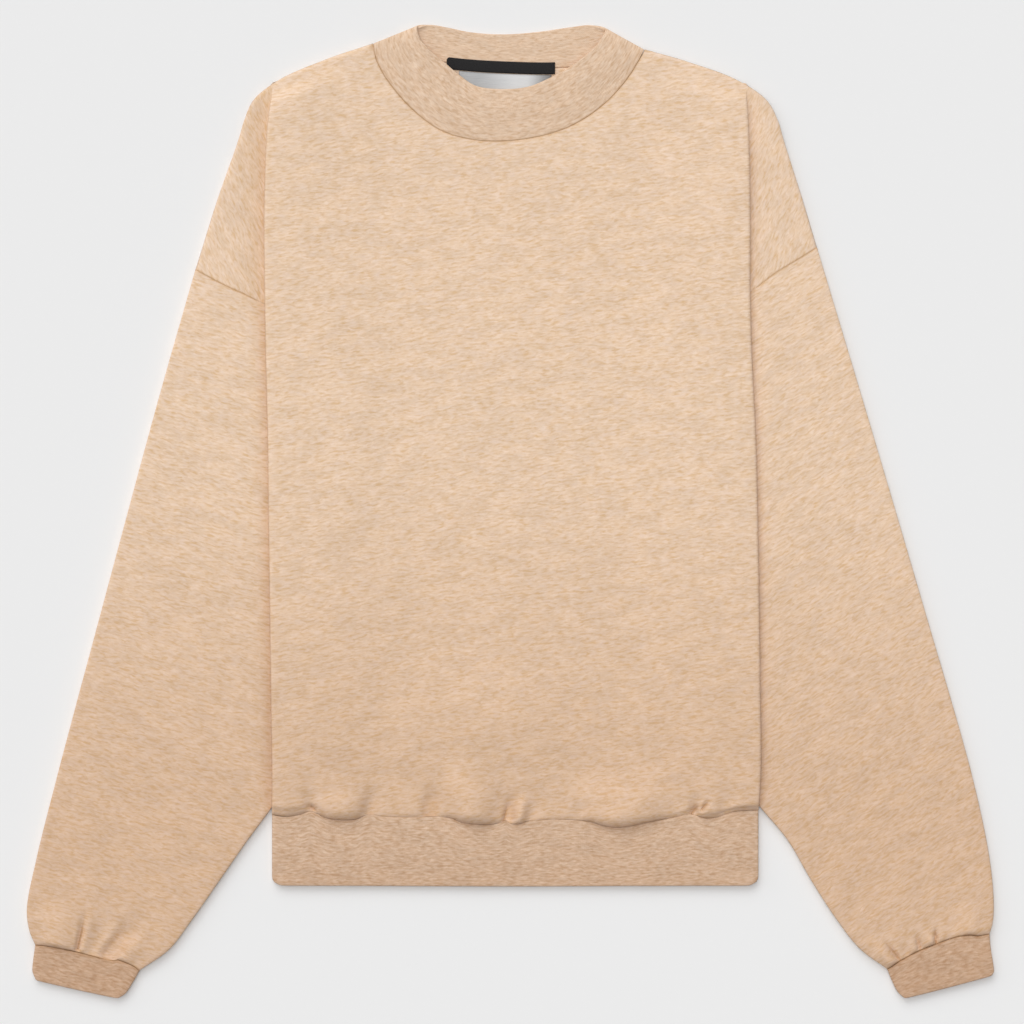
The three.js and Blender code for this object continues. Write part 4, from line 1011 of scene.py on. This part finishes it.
def heather(name, base, cream, tan, rose, contrast, shade_heights, size=1.0, rib_pitch=None):
    """Heather yarn: a base colour with cream, tan and rose streaks of yarn along the grain, and a short
    nap. Painted shade darkens the colour softly from the higher of two heights down to the lower, where
    less light falls, and browns it along a seam, beside a side fold and in a pinched crease. The size
    scales the streaks. A rib adds fine ridges across the grain."""
    cloth = Finish(name, CLOTH_SURFACE)
    wander = 3.0 if rib_pitch is None else 1.0
    cream_streak, rose_streak, tan_streak = (
        cloth.streaks(along * size, across * size, shift, detail=detail, wander=wander)
        for along, across, shift, detail in YARN_STREAKS
    )
    mottle = cloth.streaks(22.0, 10.0, 7.7, detail=3.0, wander=wander)
    fibre = cloth.streaks(1.9 * size, 0.9 * size, 29.0, detail=3.0, wander=wander)
    colour = linear(*base)
    yarns = (cream_streak, 0.36, cream), (rose_streak, 0.42, rose), (tan_streak, 0.4, tan)
    for streak, start, yarn in yarns:
        share = cloth.between(streak, start, STREAK_FULL) * contrast
        colour = cloth.blend(share, colour, linear(*yarn))
    height = cloth.node("ShaderNodeSeparateXYZ", inputs={0: cloth.place()}, output=1)
    shade = 0.92 + 0.08 * cloth.between(mottle, 0.3, 0.7) + 0.14 * (fibre - 0.5)
    grey_shade = cloth.node("ShaderNodeCombineColor", inputs={0: shade, 1: shade, 2: shade})
    # Painted shade: darker towards the bottom, where less light falls.
    low_shade = cloth.blend(1 - cloth.between(height, *shade_heights), (1, 1, 1, 1), PAINTED_LOW_SHADE)
    # The painted shade of the seams and side folds, read from the points.
    seam = cloth.node("ShaderNodeAttribute", {"attribute_name": "Seam"}, output=2)
    relief_height = fibre * 0.6 + cream_streak * 0.3
    if rib_pitch:
        along = cloth.node("ShaderNodeSeparateXYZ", inputs={0: cloth.grain()})
        ridge = cloth.node("ShaderNodeMath", {"operation": "SINE"}, {0: along * (2 * pi / rib_pitch)})
        relief_height = relief_height + ridge * RIDGE_HEIGHT
    else:
        # A pinched crease is bumped down and darkened with painted shade.
        pinched = cloth.pinches()
        seam = seam + pinched
        relief_height = relief_height - pinched * PINCH_BUMP
    # The painted shade browns and darkens the colour.
    seam_fold_crease_shade = cloth.blend(seam, (1, 1, 1, 1), SHADE_BROWN)
    for factor in (grey_shade, low_shade, seam_fold_crease_shade):
        colour = cloth.node("ShaderNodeMix", {"data_type": "RGBA", "blend_type": "MULTIPLY"},
                            {0: 1.0, 6: colour, 7: factor}, output=2)
    cloth.feed("Base Color", colour)
    cloth.feed("Roughness", 0.86 + 0.12 * fibre)
    cloth.raise_by(relief_height, NAP_HEIGHT)
    return cloth.material


def taped(name):
    """Black woven tape: fine slanting ribs."""
    tape = Finish(name, {"Specular IOR Level": 0.3, "Sheen Weight": 0.15})
    weave = tape.streaks(0.9, 0.9, 5.0)
    colour = tape.blend(tape.between(weave, 0.3, 0.7), linear(15, 14, 14), linear(33, 31, 32))
    tape.feed("Base Color", colour)
    tape.feed("Roughness", 0.66 + 0.18 * weave)
    tape.raise_by(weave, 0.0004)
    return tape.material


def satin(name):
    """Pale satin weave of the patch, with fine lines along it, a painted highlight across its middle and
    painted shade at its right end."""
    patch = Finish(name, {"Specular IOR Level": 0.5, "Sheen Weight": 0.1})
    lines = patch.streaks(14.0, 0.5, 9.0)
    across = patch.node("ShaderNodeSeparateXYZ", inputs={0: patch.place()})
    colour = patch.blend(lines, linear(150, 150, 151), linear(186, 186, 186))
    # Painted highlight over the middle of the patch.
    colour = patch.blend(patch.between(across, -0.03, 0.008), colour, linear(208, 208, 208))
    # Painted shade at the right end of the patch.
    colour = patch.blend(patch.between(across, 0.012, 0.034), colour, linear(118, 115, 114))
    patch.feed("Base Color", colour)
    patch.feed("Roughness", 0.36 + 0.14 * lines)
    patch.raise_by(lines, 0.0002)
    return patch.material


# Heights in metres over which the painted shade deepens downwards, on the fleece and on the rib.
FLEECE_SHADE_HEIGHTS = (-0.3, 0.1)
RIB_SHADE_HEIGHTS = (-0.42, -0.22)
RIB_SIZE, RIB_PITCH = 0.9, 1.7
# The colours of each yarn, as base, cream, tan and rose.
FLEECE_YARN = (237, 207, 177), (249, 225, 206), (222, 182, 134), (240, 214, 195)
RIB_YARN = (213, 179, 150), (238, 211, 186), (190, 149, 112), (218, 190, 166)
NECK_YARN = (229, 197, 167), (247, 222, 198), (206, 167, 130), (233, 207, 184)
FLEECE_FINISH = heather("heather fleece", *FLEECE_YARN, 0.76, FLEECE_SHADE_HEIGHTS)
RIB_FINISH = heather("heather rib", *RIB_YARN, 0.76, RIB_SHADE_HEIGHTS, RIB_SIZE, RIB_PITCH)
NECK_FINISH = heather("neck rib", *NECK_YARN, 0.74, FLEECE_SHADE_HEIGHTS, RIB_SIZE, RIB_PITCH)
TAPE_FINISH = taped("black tape")
PATCH_FINISH = satin("pale patch")


def add_piece(name, node, patches, finish, thickness=0.0, thin_at=()):
    """Makes one piece of cloth that stands for a node of the frame and rides on its body."""
    piece = make_cloth(name, patches, finish, thickness, thin_at)
    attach(piece, "root")
    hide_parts(node)
    return piece


def add_band(name, node, band, finish, fold_at_end):
    """Makes one doubled rib band from its outer layer."""
    loop = folded_band(band, RIB, fold_at_end)
    return add_piece(name, node, [(loop, band_grain(loop))], finish)


SLEEVE_GRAIN = {"left": -14, "right": 30}

# The front's wall is thinned along the stretch of the outline where its surface bends most.
bends = np.linspace(0.44, FLAP_CORNER, 7)
corners = [side.place(point) for side in SIDES for point in (side.fold.start, *side.shoulder.at(bends))]
front = add_piece("front_cloth", "front", front_patches(), FLEECE_FINISH, FLEECE, corners)
for side in SIDES:
    grid = sleeve_grid(side)
    sleeve = add_piece(f"sleeve_{side.name}_cloth", f"sleeve_{side.name}",
                       [(grid, turned_grain(grid, SLEEVE_GRAIN[side.name]))], FLEECE_FINISH, FLEECE)
    node = f"cuff_{side.name}"
    cuff = add_band(f"{node}_rib", node, cuff_grid(side), RIB_FINISH, True)
hem = add_band("hem_rib", "hem_band", hem_grid(), RIB_FINISH, True)
neck = add_band("neck_rib", "neck_band", neck_grid(), NECK_FINISH, False)
for name, node, slot, strip, crown, corner, finish in (
    ("tape_strip", "neck_tape", "tape", NECK_TAPE, 0.25, 3.0, TAPE_FINISH),
    ("pale_patch", "size_patch", "patch", SIZE_PATCH, 0.5, 1.0, PATCH_FINISH),
):
    grids = strip_grid(*strip, crown, corner)
    piece = add_piece(name, node, [(grid, turned_grain(grid, 0)) for grid in grids], finish)

grid = back_grid()
back = add_piece("back_cloth", "back", [(grid, turned_grain(grid, BACK_GRAIN))], FLEECE_FINISH)


# The studio's lights: name, strength, angle across, tilt from straight above, turn.
LIGHTS = [
    ("overhead", 1.16, 30, 4, -64),
    ("above the neck", 1.07, 44, 47, -80),
    ("upper left", 0.64, 56, 55, -30),
]
SKY = 0.25
FLOOR_HALF = 6.0
FLOOR_DROP = 0.0002  # how far the floor lies below the cloth, so that the two don't flicker


def add_floor():
    """A pale floor, wide enough to fill every view."""
    mesh = bpy.data.meshes.new("floor")
    half = FLOOR_HALF
    points = [(-half, -half, 0), (half, -half, 0), (half, half, 0), (-half, half, 0)]
    mesh.from_pydata(points, [], [(0, 1, 2, 3)])
    floor = bpy.data.objects.new("floor", mesh)
    bpy.context.collection.objects.link(floor)
    surface = {"Roughness": 1.0, "Specular IOR Level": 0.0, "Base Color": (0.86, 0.86, 0.86, 1)}
    paper = Finish("pale paper", surface)
    mesh.materials.append(paper.material)
    floor.location.z = -FLOOR_DROP


def add_light(name, strength, angle, tilt, turn):
    """A broad soft light from far off."""
    data = bpy.data.lights.new(name, "SUN")
    data.energy = strength
    data.angle = radians(angle)
    light = bpy.data.objects.new(name, data)
    bpy.context.collection.objects.link(light)
    light.location = (0, 0, 3)
    light.rotation_euler = (0, radians(-tilt), radians(turn))


add_floor()
for light in LIGHTS:
    add_light(*light)
world = bpy.data.worlds.new("studio")
world.use_nodes = True
world.node_tree.nodes["Background"].inputs[0].default_value = (1, 1, 1, 1)
world.node_tree.nodes["Background"].inputs[1].default_value = SKY
bpy.context.scene.world = world
bpy.context.scene.view_settings.view_transform = "Standard"
